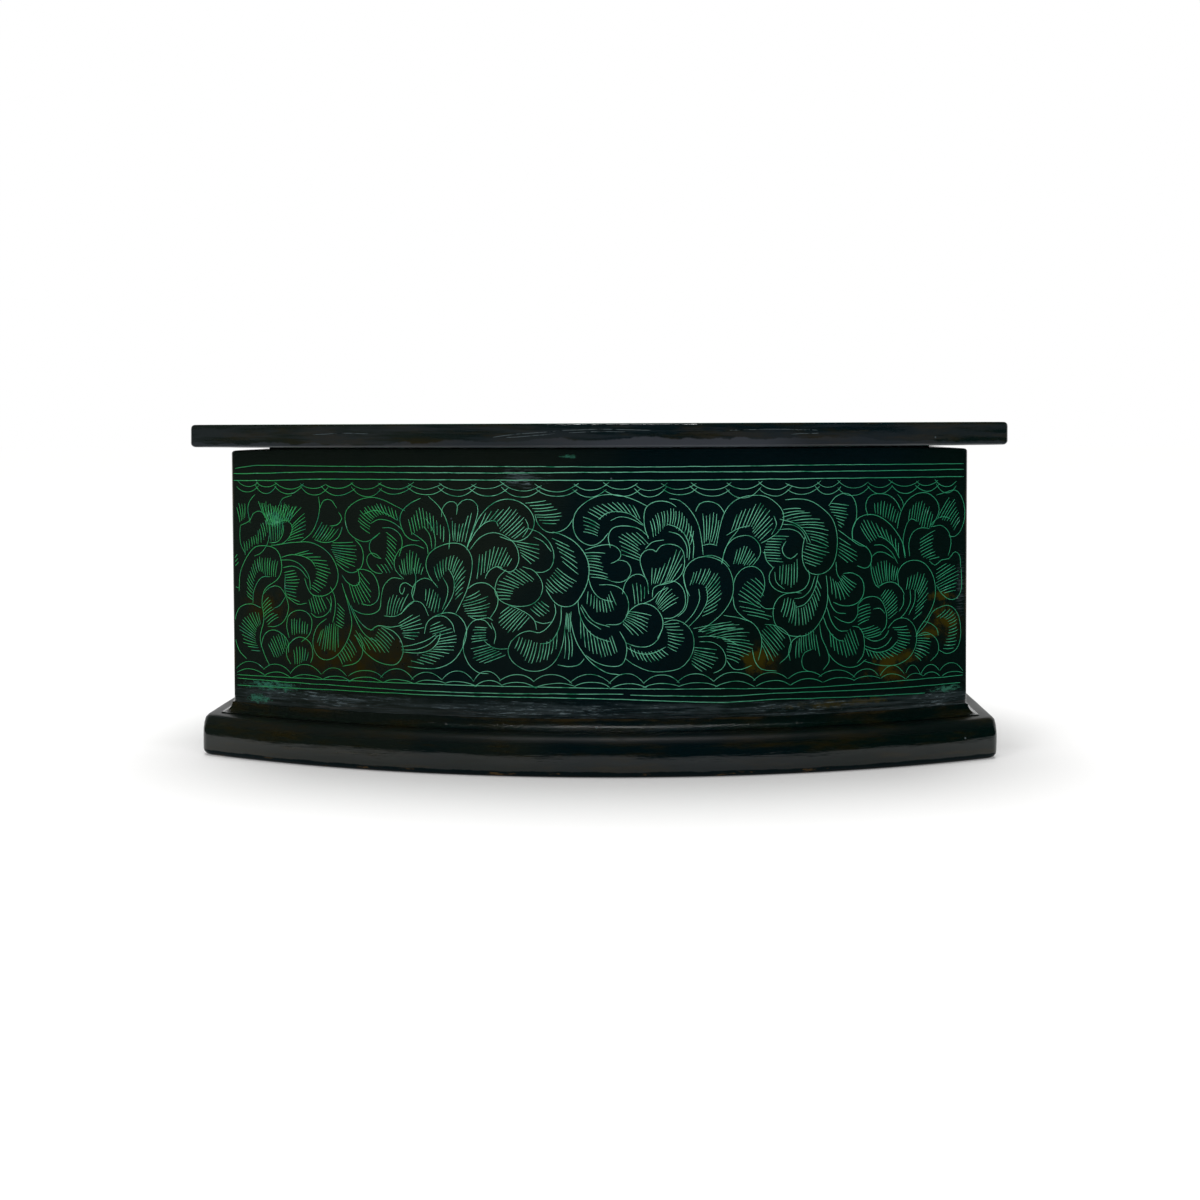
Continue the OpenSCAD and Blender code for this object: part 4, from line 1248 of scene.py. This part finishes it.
# Heights between which a finish fades out upwards, in metres
FOOT_BLOOM = (0.0188, 0.0206)
# The next two end the painted reflection on the lid's lower edge and the painted sheen on its side
EDGE_REFLECTION_FADE = (0.0960, 0.0966)
LID_SIDE = (0.1010, 0.1018)
# Painted shade: the foot is darkened up to the first of these heights
SHADED_FOOT = (0.0016, 0.0021)
CHIPPED_FOOT = (0.0012, 0.0019)
# Heights between which the lid's painted edge reflection and sheen start
LID_FOOT = (0.090, 0.094)
# Distances from the middle between which the worn corners of the front start
CORNER_WEAR = (0.1128, 0.1138)
# Heights at which a finish starts, is full, starts to fade and is gone
BASE_TOP_EDGE = (0.0085, 0.0105, 0.0121, 0.0124)
COVE_FACE = (0.0121, 0.0123, 0.0150, 0.0160)
COVE_LIP = (0.0143, 0.0149, 0.0154, 0.0156)
# Places along the lid at which its painted edge reflection starts to rise, is highest, starts to fall and
# is low
EDGE_REFLECTION_RISE = (-0.07, 0.0, 0.070, 0.110)
EDGE_REFLECTION_RISE_HEIGHT = 0.0013


def axes(tree, place):
    """Distance along the box and height, from Object coordinates."""
    split = tree.nodes.new("ShaderNodeSeparateXYZ")
    tree.links.new(place, split.inputs["Vector"])
    return split.outputs["X"], split.outputs["Z"]


def product(tree, first, second):
    return add_math(tree, "MULTIPLY", first, second)


def below(tree, value, full, gone):
    """One up to a value, and nothing past another."""
    return add_range(tree, value, gone, full)


def band(tree, value, start, full, fade, gone):
    """One in the middle of a range, fading to nothing at both ends."""
    return product(tree, add_range(tree, value, start, full), below(tree, value, fade, gone))


def tint(colour, share):
    """A lighter or darker colour."""
    return tuple(min(share * part, 1) for part in colour[:3]) + (1,)


def patch_mask(tree, place, patches, grain, low, high):
    """Patches of the front, broken up by a grain."""
    total = None
    for along, up, half, tall in patches:
        centre = on_front(along * MM, up * MM, 0)
        spot = add_spot(tree, place, centre, (half * MM, half * MM, tall * MM))
        total = spot if total is None else add_math(tree, "MAXIMUM", total, spot)
    return add_range(tree, product(tree, add_math(tree, "POWER", total, 0.5), grain), low, high)


def add_specks(tree, place, scale, radius, share):
    """Dust and pin holes: small dots in some of the cells of a grid without order."""
    cells = tree.nodes.new("ShaderNodeTexVoronoi")
    cells.inputs["Scale"].default_value = scale
    tree.links.new(place, cells.inputs["Vector"])
    dot = add_range(tree, cells.outputs["Distance"], radius, radius * 0.5)
    pick = tree.nodes.new("ShaderNodeSeparateColor")
    tree.links.new(cells.outputs["Color"], pick.inputs["Color"])
    return product(tree, dot, add_range(tree, pick.outputs["Red"], share + 0.01, share))


def wavering(tree, place, height, reach):
    """A height that wavers along the piece by up to the reach, for uneven edges between finishes."""
    waver = add_range(tree, add_noise(tree, place, 110, 4, 0.65, (1, 1, 0.3)), 0.3, 0.7, -reach, reach)
    return add_math(tree, "ADD", height, waver)


def front_wear(tree, place, base):
    """Thin places, bloom along the foot, dust with painted sparkles, smeared pigment and worn corners of
    the front.
    """
    colour = colours()
    along, up = axes(tree, place)
    grain = add_noise(tree, place, 150, 5, 0.75)
    brown = patch_mask(tree, place, BROWN_PATCHES, grain, 0.26, 0.56)
    base = add_mix(tree, brown, base, colour.lacquer_brown)
    gold = product(tree, patch_mask(tree, place, GOLD_PATCHES, grain, 0.34, 0.48), 0.8)
    base = add_mix(tree, gold, base, colour.lacquer_gold)
    strata = add_noise(tree, place, 48, 6, 0.72, (1, 1, 22))
    at_foot = below(tree, wavering(tree, place, up, 0.0005), *FOOT_BLOOM)
    bloom = product(tree, at_foot, add_range(tree, strata, 0.42, 0.64, 0.03, 0.36))
    bloom = product(tree, bloom, add_range(tree, along, -0.08, -0.03, 0.6, 1))
    fine = add_noise(tree, place, 100, 6, 0.75, (1, 1, 16))
    haze = product(tree, patch_mask(tree, place, HAZE_PATCHES, fine, 0.40, 0.54), 0.5)
    base = add_mix(tree, add_math(tree, "MAXIMUM", bloom, haze), base, colour.haze)
    # Pale flecks: partly dust, partly painted sparkles of light
    pale_flecks_and_sparkles = add_range(tree, add_noise(tree, place, 260, 5, 0.7, (1, 1, 11)), 0.545, 0.61, 0, 0.8)
    dust_and_sparkle = product(tree, pale_flecks_and_sparkles, patch_mask(tree, place, DUST_AND_SPARKLE_PATCHES, strata, 0.28, 0.5))
    base = add_mix(tree, dust_and_sparkle, base, tint(colour.haze, 2.2))
    smear = add_noise(tree, place, 520, 6, 0.9, (1, 1, 2.6))
    smudge = product(tree, patch_mask(tree, place, SMUDGES, smear, 0.42, 0.49), 0.9)
    base = add_mix(tree, smudge, base, colour.smear)
    edge = add_range(tree, add_math(tree, "ABSOLUTE", along, 0), *CORNER_WEAR)
    patchy = add_range(tree, add_noise(tree, place, 90, 4, 0.7), 0.44, 0.6, 0, 0.5)
    return add_mix(tree, product(tree, edge, patchy), base, colour.amber)


def board_wear(tree, place, streak, base):
    """Brown places, painted reflection and sheen on the lid's edge, and the chipped foot darkened as
    painted shade; returns the colour and the foot.
    """
    colour = colours()
    along, up = axes(tree, place)
    brown = add_range(tree, add_noise(tree, place, 45, 5, 0.7, (1, 1, 6)), 0.46, 0.70, 0, 0.6)
    base = add_mix(tree, brown, base, colour.lacquer_brown)
    # Painted reflection and sheen: pale slate along the lid's edge, broken by brush streaks, stands for the
    # reflected floor and studio
    rise = product(tree, band(tree, along, *EDGE_REFLECTION_RISE), EDGE_REFLECTION_RISE_HEIGHT)
    worn = add_math(tree, "SUBTRACT", wavering(tree, place, up, 0.0006), rise)
    dull = product(tree, below(tree, worn, *EDGE_REFLECTION_FADE), add_range(tree, along, -0.025, 0.012, 0.5, 1))
    dull = product(tree, dull, add_range(tree, along, 0.046, 0.066, 1, 0.45))
    brushed = product(tree, add_range(tree, streak, 0.42, 0.60, 0.04, 0.30), below(tree, up, *LID_SIDE))
    dull = product(tree, add_math(tree, "MAXIMUM", dull, brushed), add_range(tree, up, *LID_FOOT))
    base = add_mix(tree, dull, base, colour.lid_edge_reflection)
    # Painted shade: the lowest edge of the base is darkened to stand for the shade where it meets the floor
    foot = below(tree, wavering(tree, place, up, 0.0002), *SHADED_FOOT)
    base = add_mix(tree, foot, base, colour.lacquer)
    chipped = add_range(tree, add_noise(tree, place, 420, 4, 0.7, (0.3, 0.3, 1)), 0.58, 0.66)
    base = add_mix(tree, product(tree, below(tree, up, *CHIPPED_FOOT), chipped), base, colour.amber)
    lip = product(tree, band(tree, up, *COVE_LIP), 0.4)
    return add_mix(tree, product(tree, lip, brown), base, colour.amber), foot


def lacquer_material(name, kind="wall"):
    """Hand-brushed black lacquer: tone, partly a painted warm reflection on the left, brush waves, dust and
    rubbed places.

    The front has worn patches and painted sparkles; boards have coarser brush work, chipped edges, a
    painted reflection on the lid's edge and painted shade on the foot.
    """
    colour = colours()
    board = kind == "board"
    material, tree, shader, place = new_material(name)
    along, up = axes(tree, place)
    drift = add_range(tree, add_noise(tree, place, 14, 3), 0.25, 0.75, -0.05, 0.05)
    across = add_math(tree, "ADD", along, drift)
    # Warmer towards the left: partly the lacquer's own tone, partly a painted warm reflection
    base = add_mix(tree, add_range(tree, across, -0.07, 0.0), colour.lacquer_warm_and_reflection, colour.lacquer)
    base = add_mix(tree, add_range(tree, across, 0.04, 0.08), base, colour.lacquer_green)
    streak = add_noise(tree, place, 30, 5, 0.65, (1, 1, 14))
    specks = add_specks(tree, place, 190, 0.075, 0.22 if board else 0.08)
    rubbed = add_range(tree, add_noise(tree, place, 60, 5, 0.65), 0.60, 0.72)
    gloss = (0.04, 0.10) if board else (0.06, 0.12)
    rough = add_math(tree, "ADD", add_range(tree, streak, 0.3, 0.7, *gloss),
                     add_range(tree, rubbed, 0, 1, 0, 0.1))
    waves = [
        (add_noise(tree, place, 38, 2, 0.5), 0.00035 if board else 0.0004),
        (streak, 0.00010 if board else 0.00006),
        (specks, 0.00008),
    ]
    if kind == "front":
        base = front_wear(tree, place, base)
    if board:
        base, foot = board_wear(tree, place, streak, base)
        # The foot's painted shade also takes away most of its specular level
        tree.links.new(add_range(tree, foot, 0, 1, 0.38, 0.06), shader.inputs["Specular IOR Level"])
        rough = add_math(tree, "ADD", rough, product(tree, band(tree, up, *BASE_TOP_EDGE), 0.36))
        waves.append((add_noise(tree, place, 210, 4, 0.6, (0.5, 0.5, 1.2)), 0.00006))
        ripples = product(tree, band(tree, up, *COVE_FACE), add_noise(tree, place, 1000, 3, 0.65))
        waves.append((ripples, 0.0002))
    else:
        shader.inputs["Specular IOR Level"].default_value = 0.36
    base = add_mix(tree, specks, base, colour.haze)
    tree.links.new(base, shader.inputs["Base Color"])
    tree.links.new(rough, shader.inputs["Roughness"])
    add_bump(tree, shader, waves)
    return material


def inner_material(name):
    """Satin lacquer brushed on inside."""
    colour = colours()
    material, tree, shader, place = new_material(name)
    streak = add_noise(tree, place, 26, 5, 0.65, (1, 1, 9))
    base = add_mix(tree, add_range(tree, streak, 0.35, 0.75), colour.inner, tint(colour.inner, 2.2))
    dust = add_range(tree, add_noise(tree, place, 700, 2, 0.5), 0.72, 0.78)
    base = add_mix(tree, dust, base, colour.haze)
    tree.links.new(base, shader.inputs["Base Color"])
    tree.links.new(add_range(tree, streak, 0.3, 0.7, 0.36, 0.52), shader.inputs["Roughness"])
    add_bump(tree, shader, ((streak, 0.00015), (add_noise(tree, place, 500, 3, 0.6), 0.00003)))
    return material


def scratch_material(name):
    """Scratches through the gloss: pale, broken and dull."""
    colour = colours()
    material, tree, shader, place = new_material(name)
    broken = add_range(tree, add_noise(tree, place, 500, 4, 0.7), 0.36, 0.52)
    tree.links.new(add_mix(tree, broken, colour.lacquer, colour.haze), shader.inputs["Base Color"])
    tree.links.new(add_range(tree, broken, 0, 1, 0.2, 0.5), shader.inputs["Roughness"])
    shader.inputs["Specular IOR Level"].default_value = 0.3
    return material


def pigment_material(name):
    """Pigment rubbed into the lines: pure green on the left, mint in the middle, teal on the right."""
    colour = colours()
    material, tree, shader, place = new_material(name)
    along = axes(tree, place)[0]
    drift = add_range(tree, add_noise(tree, place, 18, 2), 0.2, 0.8, -0.03, 0.03)
    across = add_math(tree, "ADD", along, drift)
    left = add_range(tree, across, -0.085, -0.015)
    base = add_mix(tree, left, colour.green_left, colour.green_middle)
    right = add_range(tree, across, 0.02, 0.09)
    base = add_mix(tree, right, base, colour.green_right)
    worn = add_range(tree, add_noise(tree, place, 230, 4, 0.65), 0.34, 0.52)
    base = add_mix(tree, worn, tint(colour.green_right, 0.8), base)
    pale = add_range(tree, add_noise(tree, place, 330, 4, 0.7), 0.58, 0.76, 0, 0.6)
    base = add_mix(tree, pale, base, tint(colour.green_middle, 1.4))
    tree.links.new(base, shader.inputs["Base Color"])
    tree.links.new(add_range(tree, worn, 0, 1, 0.35, 0.6), shader.inputs["Roughness"])
    shader.inputs["Specular IOR Level"].default_value = 0.3
    add_bump(tree, shader, ((add_noise(tree, place, 900, 3, 0.6), 0.00003),))
    return material


def wood_material(name):
    """Bare wood with fine grain."""
    colour = colours()
    material, tree, shader, place = new_material(name)
    grain = add_noise(tree, place, 300, 5, 0.6, (1, 1, 0.08))
    base = add_mix(tree, add_range(tree, grain, 0.35, 0.65), tint(colour.wood, 0.55), colour.wood)
    tree.links.new(base, shader.inputs["Base Color"])
    shader.inputs["Roughness"].default_value = 0.65
    add_bump(tree, shader, ((grain, 0.00004),))
    return material


def shared(name, maker, *options):
    """A finish that is made once and used again."""
    found = bpy.data.materials.get(name)
    return found if found else maker(name, *options)


# Camera, fitted to the photograph: its place in metres, and its turns in degrees
CAMERA_PLACE = (0.02126, -0.52207, 0.102)
CAMERA_YAW = 2.322
CAMERA_PITCH = -2.037
CAMERA_ROLL = -0.215
# Stage, in metres: reach of the floor, how far the paper shows inside the dark cloth, the cloth's own reach
# and its height above the floor, and its depth as a share of its width
FLOOR_REACH = 6
PAPER_REACH = 0.2
CLOTH_REACH = 2.2
CLOTH_HEIGHT = 0.001
CLOTH_SQUASH = 0.6


# Operators

class LACQUERBOX_OT_boards(bpy.types.Operator):
    """Build the lid board and the base board"""
    bl_idname = "lacquer_box.boards"
    bl_label = "Boards"

    def execute(self, context):
        size = sizes()
        lacquer = shared("board lacquer", lacquer_material, "board")
        lid = bow_board(LID_LOW, LID_TOP, size.lid_top_round, size.lid_top_round, size.lid_under_round,
                        size.board_corner * LID_CORNER, size.hand_wave * LID_WAVE, LID_SEED)
        finish_piece(lid, "lacquered_lid", "lid", ["lid_board"], [lacquer])
        base = bow_board(BASE_LOW, BASE_HIGH, size.base_front_round, size.base_side_round,
                         size.base_foot_round, size.board_corner, size.hand_wave, BASE_SEED)
        finish_piece(base, "lacquered_base", "box", ["base_board"], [lacquer])
        return {"FINISHED"}


class LACQUERBOX_OT_walls(bpy.types.Operator):
    """Build the four walls, parted at their joints"""
    bl_idname = "lacquer_box.walls"
    bl_label = "Walls"

    def execute(self, context):
        finishes = [shared("wall lacquer", lacquer_material), shared("inner lacquer", inner_material)]
        front_finishes = [shared("front lacquer", lacquer_material, "front"), finishes[1]]
        front, front_no, rear, rear_no = wall_cuts()
        flip = Vector((-1, 1, 1))
        shell = wall_shell()
        keep_side(shell, front, front_no)
        keep_side(shell, front * flip, front_no * flip)
        finish_piece(shell, "lacquered_front", "box", ["front_wall"], front_finishes)
        shell = wall_shell()
        keep_side(shell, rear, -rear_no)
        keep_side(shell, rear * flip, -rear_no * flip)
        keep_side(shell, Vector((0, 0, 0)), Vector((0, -1, 0)))
        finish_piece(shell, "lacquered_back", "box", ["back_wall"], finishes)
        for side, name in ((1, "right"), (-1, "left")):
            shell = wall_shell()
            turn = Vector((side, 1, 1))
            keep_side(shell, Vector((0, 0, 0)), Vector((-side, 0, 0)))
            keep_side(shell, front * turn, -front_no * turn)
            keep_side(shell, rear * turn, rear_no * turn)
            finish_piece(shell, "lacquered_" + name, "box", [name + "_wall"], finishes)
        return {"FINISHED"}


class LACQUERBOX_OT_foot_cove(bpy.types.Operator):
    """Build the run of putty between the walls and the base board"""
    bl_idname = "lacquer_box.foot_cove"
    bl_label = "Foot cove"

    def execute(self, context):
        size = sizes()
        bm = bmesh.new()
        foot = FRONT_LOW.z
        reach = size.cove + size.cove_lip
        levels = [(0, foot), (reach, foot)]
        for step in range(COVE_STEPS + 1):
            turn = math.radians(90 * step / COVE_STEPS)
            levels.append((reach - size.cove * math.sin(turn), foot + reach - size.cove * math.cos(turn)))
        levels.append((0, foot + reach))
        rings = [plan_ring(bm, bow_radius() + grow, FRONT_HIGH.x + grow, BACK_HIGH.y + grow, z)
                 for grow, z in levels]
        bridge_rings(bm, rings + [rings[0]])
        bmesh.ops.recalc_face_normals(bm, faces=bm.faces)
        putty = shared("putty lacquer", lacquer_material, "board")
        finish_piece(bm, "lacquered_cove", "box", ["foot_cove"], [putty])
        return {"FINISHED"}


class LACQUERBOX_OT_front_ornament(bpy.types.Operator):
    """Cut the leaves, rules and scallops of the front"""
    bl_idname = "lacquer_box.front_ornament"
    bl_label = "Front ornament"

    def execute(self, context):
        dice = random.Random(sizes().ornament_seed)
        strokes = field(dice) + cut_lines(FRONT_RULES, dice, 0.12, 1.06)
        strokes += wall_borders(RIM_CUSPS, FOOT_CUSPS, dice) + cut_hatching(SECOND_HATCHING, dice)
        half = bow_radius() * math.asin(FRONT_HIGH.x / bow_radius()) / MM - FRONT_END
        pigment = shared("pigment", pigment_material)
        engraving("front_engraving", "box", within(strokes, half), on_front, pigment)
        return {"FINISHED"}


class LACQUERBOX_OT_wall_ornament(bpy.types.Operator):
    """Cut the ornament of the sides and the back"""
    bl_idname = "lacquer_box.wall_ornament"
    bl_label = "Side and back ornament"

    def execute(self, context):
        dice = random.Random(sizes().ornament_seed + 1)
        pigment = shared("pigment", pigment_material)
        leaves = field(dice)
        side_half = (BACK_HIGH.y - arc_y(bow_radius(), FRONT_HIGH.x)) / 2 / MM - WALL_END
        back_half = FRONT_HIGH.x / MM - WALL_END
        panels = (
            ("left_engraving", -SIDE_FIELD, 1, side_half, on_left),
            ("right_engraving", SIDE_FIELD, 1, side_half, on_right),
            ("back_engraving", 0, -1, back_half, on_back),
        )
        for name, along, mirror, half, place in panels:
            strokes = within(shifted(leaves, along, mirror), half)
            strokes += [straight_rule(half, height, dice) for height in RULE_HEIGHTS]
            rim_cusps = even_cusps(half, RIM_SPACING, dice)
            foot_cusps = even_cusps(half, FOOT_SPACING, dice)
            strokes += within(wall_borders(rim_cusps, foot_cusps, dice), half)
            engraving(name, "box", strokes, place, pigment)
        return {"FINISHED"}


class LACQUERBOX_OT_lid_ornament(bpy.types.Operator):
    """Cut the ornament of the lid's top"""
    bl_idname = "lacquer_box.lid_ornament"
    bl_label = "Lid ornament"

    def execute(self, context):
        dice = random.Random(sizes().ornament_seed + 2)
        pigment = shared("pigment", pigment_material)
        engraving("lid_engraving", "lid", lid_strokes(dice), on_lid, pigment)
        scratched = shared("pale scratches", scratch_material)
        engraving("lid_scratches", "lid", cut_lines(LID_SCRATCHES, dice), on_lid_edge, scratched)
        return {"FINISHED"}


class LACQUERBOX_OT_joinery(bpy.types.Operator):
    """Finish the battens, pins and dowels that are shown as packed"""
    bl_idname = "lacquer_box.joinery"
    bl_label = "Battens and pins"

    def execute(self, context):
        lacquer = shared("inner lacquer", inner_material)
        wood = shared("bare wood", wood_material)
        finishes = [("lid_" + side + "_batten", lacquer) for side in ("front", "back", "left", "right")]
        finishes += [(name, wood) for name in ("batten_pins", "corner_pins", "base_dowels")]
        for name, material in finishes:
            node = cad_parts[name]
            if not node.material_slots:
                node.data.materials.append(material)
            for held in node.material_slots:
                held.material = material
        return {"FINISHED"}


class LACQUERBOX_OT_stage(bpy.types.Operator):
    """Set the floor, the surround, the lights and the camera"""
    bl_idname = "lacquer_box.stage"
    bl_label = "Stage"

    def execute(self, context):
        scene = context.scene
        scene.view_settings.view_transform = "Standard"
        self.add_world(scene)
        self.add_floor()
        self.add_surround()
        self.add_lights(scene)
        self.add_camera(scene)
        return {"FINISHED"}

    def background_share(self, tree):
        """One for rays that show the background: camera, glossy and transmission rays."""
        path = tree.nodes.new("ShaderNodeLightPath")
        seen = add_math(tree, "MAXIMUM", path.outputs["Is Camera Ray"], path.outputs["Is Glossy Ray"])
        return add_math(tree, "MAXIMUM", seen, path.outputs["Is Transmission Ray"])

    def show_background(self, tree, kind, lighting, shown):
        """Ends a tree with one shader for the lighting and one for what the background shows."""
        mix = tree.nodes.new("ShaderNodeMixShader")
        tree.links.new(self.background_share(tree), mix.inputs["Fac"])
        tree.links.new(lighting, mix.inputs[1])
        tree.links.new(shown, mix.inputs[2])
        output = tree.nodes.new(kind)
        tree.links.new(mix.outputs["Shader"], output.inputs["Surface"])

    def add_shader(self, tree, kind, **values):
        """A shader node with its values set, and its output."""
        node = tree.nodes.new(kind)
        for name, value in values.items():
            node.inputs[name].default_value = value
        return node.outputs[0]

    def add_world(self, scene):
        world = bpy.data.worlds.new("studio")
        scene.world = world
        world.use_nodes = True
        tree = world.node_tree
        tree.nodes.clear()
        light = self.add_shader(tree, "ShaderNodeBackground", Color=(1.0, 0.985, 0.96, 1), Strength=0.32)
        white = self.add_shader(tree, "ShaderNodeBackground", Color=(1, 1, 1, 1), Strength=1.0)
        self.show_background(tree, "ShaderNodeOutputWorld", light, white)

    def add_floor(self):
        """White paper, with a faint glow for the rays that show it."""
        material = bpy.data.materials.new("white paper")
        material.use_nodes = True
        tree = material.node_tree
        tree.nodes.clear()
        plain = self.add_shader(tree, "ShaderNodeBsdfDiffuse", Color=(0.9, 0.9, 0.9, 1))
        paper = self.add_shader(tree, "ShaderNodeBsdfDiffuse", Color=(0.82, 0.82, 0.82, 1))
        glow = self.add_shader(tree, "ShaderNodeEmission", Strength=0.19)
        both = tree.nodes.new("ShaderNodeAddShader")
        tree.links.new(paper, both.inputs[0])
        tree.links.new(glow, both.inputs[1])
        self.show_background(tree, "ShaderNodeOutputMaterial", plain, both.outputs["Shader"])
        bm = bmesh.new()
        bmesh.ops.create_grid(bm, x_segments=1, y_segments=1, size=FLOOR_REACH)
        floor = link_mesh(bm, "floor", [material])

    def add_surround(self):
        """Dark cloth round the set, which only reflections see, so that the black lacquer stays black.

        It leaves the paper round the box, an opening overhead and a low gap behind the box.
        """
        material = bpy.data.materials.new("dark cloth")
        material.use_nodes = True
        shader = material.node_tree.nodes["Principled BSDF"]
        shader.inputs["Base Color"].default_value = (0.02, 0.022, 0.026, 1)
        shader.inputs["Roughness"].default_value = 1.0
        bm = bmesh.new()
        rises = [math.radians(up) for up in range(16, 89, 8)]
        tent = [(CLOTH_REACH * math.cos(rise), CLOTH_REACH * math.sin(rise)) for rise in rises]
        ground = [(PAPER_REACH, CLOTH_HEIGHT), (CLOTH_REACH, CLOTH_HEIGHT)]
        self.hang_cloth(bm, ground + tent, -120, 240)
        self.hang_cloth(bm, tent, 120, 120)
        bmesh.ops.scale(bm, vec=(1, CLOTH_SQUASH, 1), verts=bm.verts)
        cloth = link_mesh(bm, "dark_cloth", [material])
        cloth.visible_camera = False
        cloth.visible_diffuse = False
        cloth.visible_shadow = False
        cloth.visible_transmission = False

    def hang_cloth(self, bm, profile, start, sweep):
        """Spins a profile of reach and height about the box, from a start measured from the front."""
        turn = math.radians(start)
        chain = [bm.verts.new((reach * math.sin(turn), -reach * math.cos(turn), z)) for reach, z in profile]
        edges = [bm.edges.new(pair) for pair in zip(chain, chain[1:])]
        bmesh.ops.spin(bm, geom=chain + edges, cent=(0, 0, 0), axis=(0, 0, 1), angle=math.radians(sweep),
                       steps=sweep // 5)

    def add_lights(self, scene):
        sky = bpy.data.lights.new("sky_behind", "SUN")
        sky.energy = 2.25
        sky.angle = math.radians(44)
        holder = bpy.data.objects.new("sky_behind", sky)
        holder.rotation_euler = Vector((0.03, -0.36, -1)).to_track_quat("-Z", "Y").to_euler()
        holder.visible_glossy = False
        scene.collection.objects.link(holder)
        lamps = (
            ("strip_above", (0.03, -0.24, 1.3), (0.0, 0, 0.05), (0.4, 0.03), 2.3),
            ("soft_box_left", (-0.9, -0.9, 0.9), (0, 0, 0.05), (0.5, 0.5), 2.6),
        )
        for name, spot, target, size, power in lamps:
            lamp = bpy.data.lights.new(name, "AREA")
            lamp.energy = power
            lamp.shape = "RECTANGLE"
            lamp.size, lamp.size_y = size
            holder = bpy.data.objects.new(name, lamp)
            holder.location = spot
            aim = Vector(target) - Vector(spot)
            holder.rotation_euler = aim.to_track_quat("-Z", "Y").to_euler()
            holder.visible_glossy = name == "strip_above"
            scene.collection.objects.link(holder)

    def add_camera(self, scene):
        camera = bpy.data.cameras.new("camera")
        camera.lens = 48
        camera.sensor_width = 36
        camera.shift_y = -0.1
        camera.clip_start = 0.01
        holder = bpy.data.objects.new("camera", camera)
        yaw = Matrix.Rotation(math.radians(CAMERA_YAW), 4, "Z")
        pitch = Matrix.Rotation(math.radians(90 + CAMERA_PITCH), 4, "X")
        roll = Matrix.Rotation(math.radians(CAMERA_ROLL), 4, "Z")
        holder.matrix_world = Matrix.Translation(CAMERA_PLACE) @ yaw @ pitch @ roll
        scene.collection.objects.link(holder)
        scene.camera = holder


class LACQUERBOX_PT_panel(bpy.types.Panel):
    """Sizes, colours and building steps of the lacquer box"""
    bl_idname = "LACQUERBOX_PT_panel"
    bl_label = "Lacquer box"
    bl_space_type = "VIEW_3D"
    bl_region_type = "UI"
    bl_category = "Lacquer box"

    def draw(self, context):
        layout = self.layout
        for group in (context.scene.lacquer_box_sizes, context.scene.lacquer_box_colours):
            column = layout.column(align=True)
            for name in group.__annotations__:
                column.prop(group, name)
        for step in STEPS:
            layout.operator(step.bl_idname)


STEPS = (
    LACQUERBOX_OT_boards,
    LACQUERBOX_OT_walls,
    LACQUERBOX_OT_foot_cove,
    LACQUERBOX_OT_front_ornament,
    LACQUERBOX_OT_wall_ornament,
    LACQUERBOX_OT_lid_ornament,
    LACQUERBOX_OT_joinery,
    LACQUERBOX_OT_stage,
)
CLASSES = (LacquerBoxSizes, LacquerBoxColours) + STEPS + (LACQUERBOX_PT_panel,)


def register():
    for kind in CLASSES:
        bpy.utils.register_class(kind)
    bpy.types.Scene.lacquer_box_sizes = PointerProperty(type=LacquerBoxSizes)
    bpy.types.Scene.lacquer_box_colours = PointerProperty(type=LacquerBoxColours)


def unregister():
    del bpy.types.Scene.lacquer_box_colours
    del bpy.types.Scene.lacquer_box_sizes
    for kind in reversed(CLASSES):
        bpy.utils.unregister_class(kind)


def main():
    register()
    bpy.ops.lacquer_box.boards()
    bpy.ops.lacquer_box.walls()
    bpy.ops.lacquer_box.foot_cove()
    bpy.ops.lacquer_box.front_ornament()
    bpy.ops.lacquer_box.wall_ornament()
    bpy.ops.lacquer_box.lid_ornament()
    bpy.ops.lacquer_box.joinery()
    bpy.ops.lacquer_box.stage()


if __name__ == "__main__":
    main()
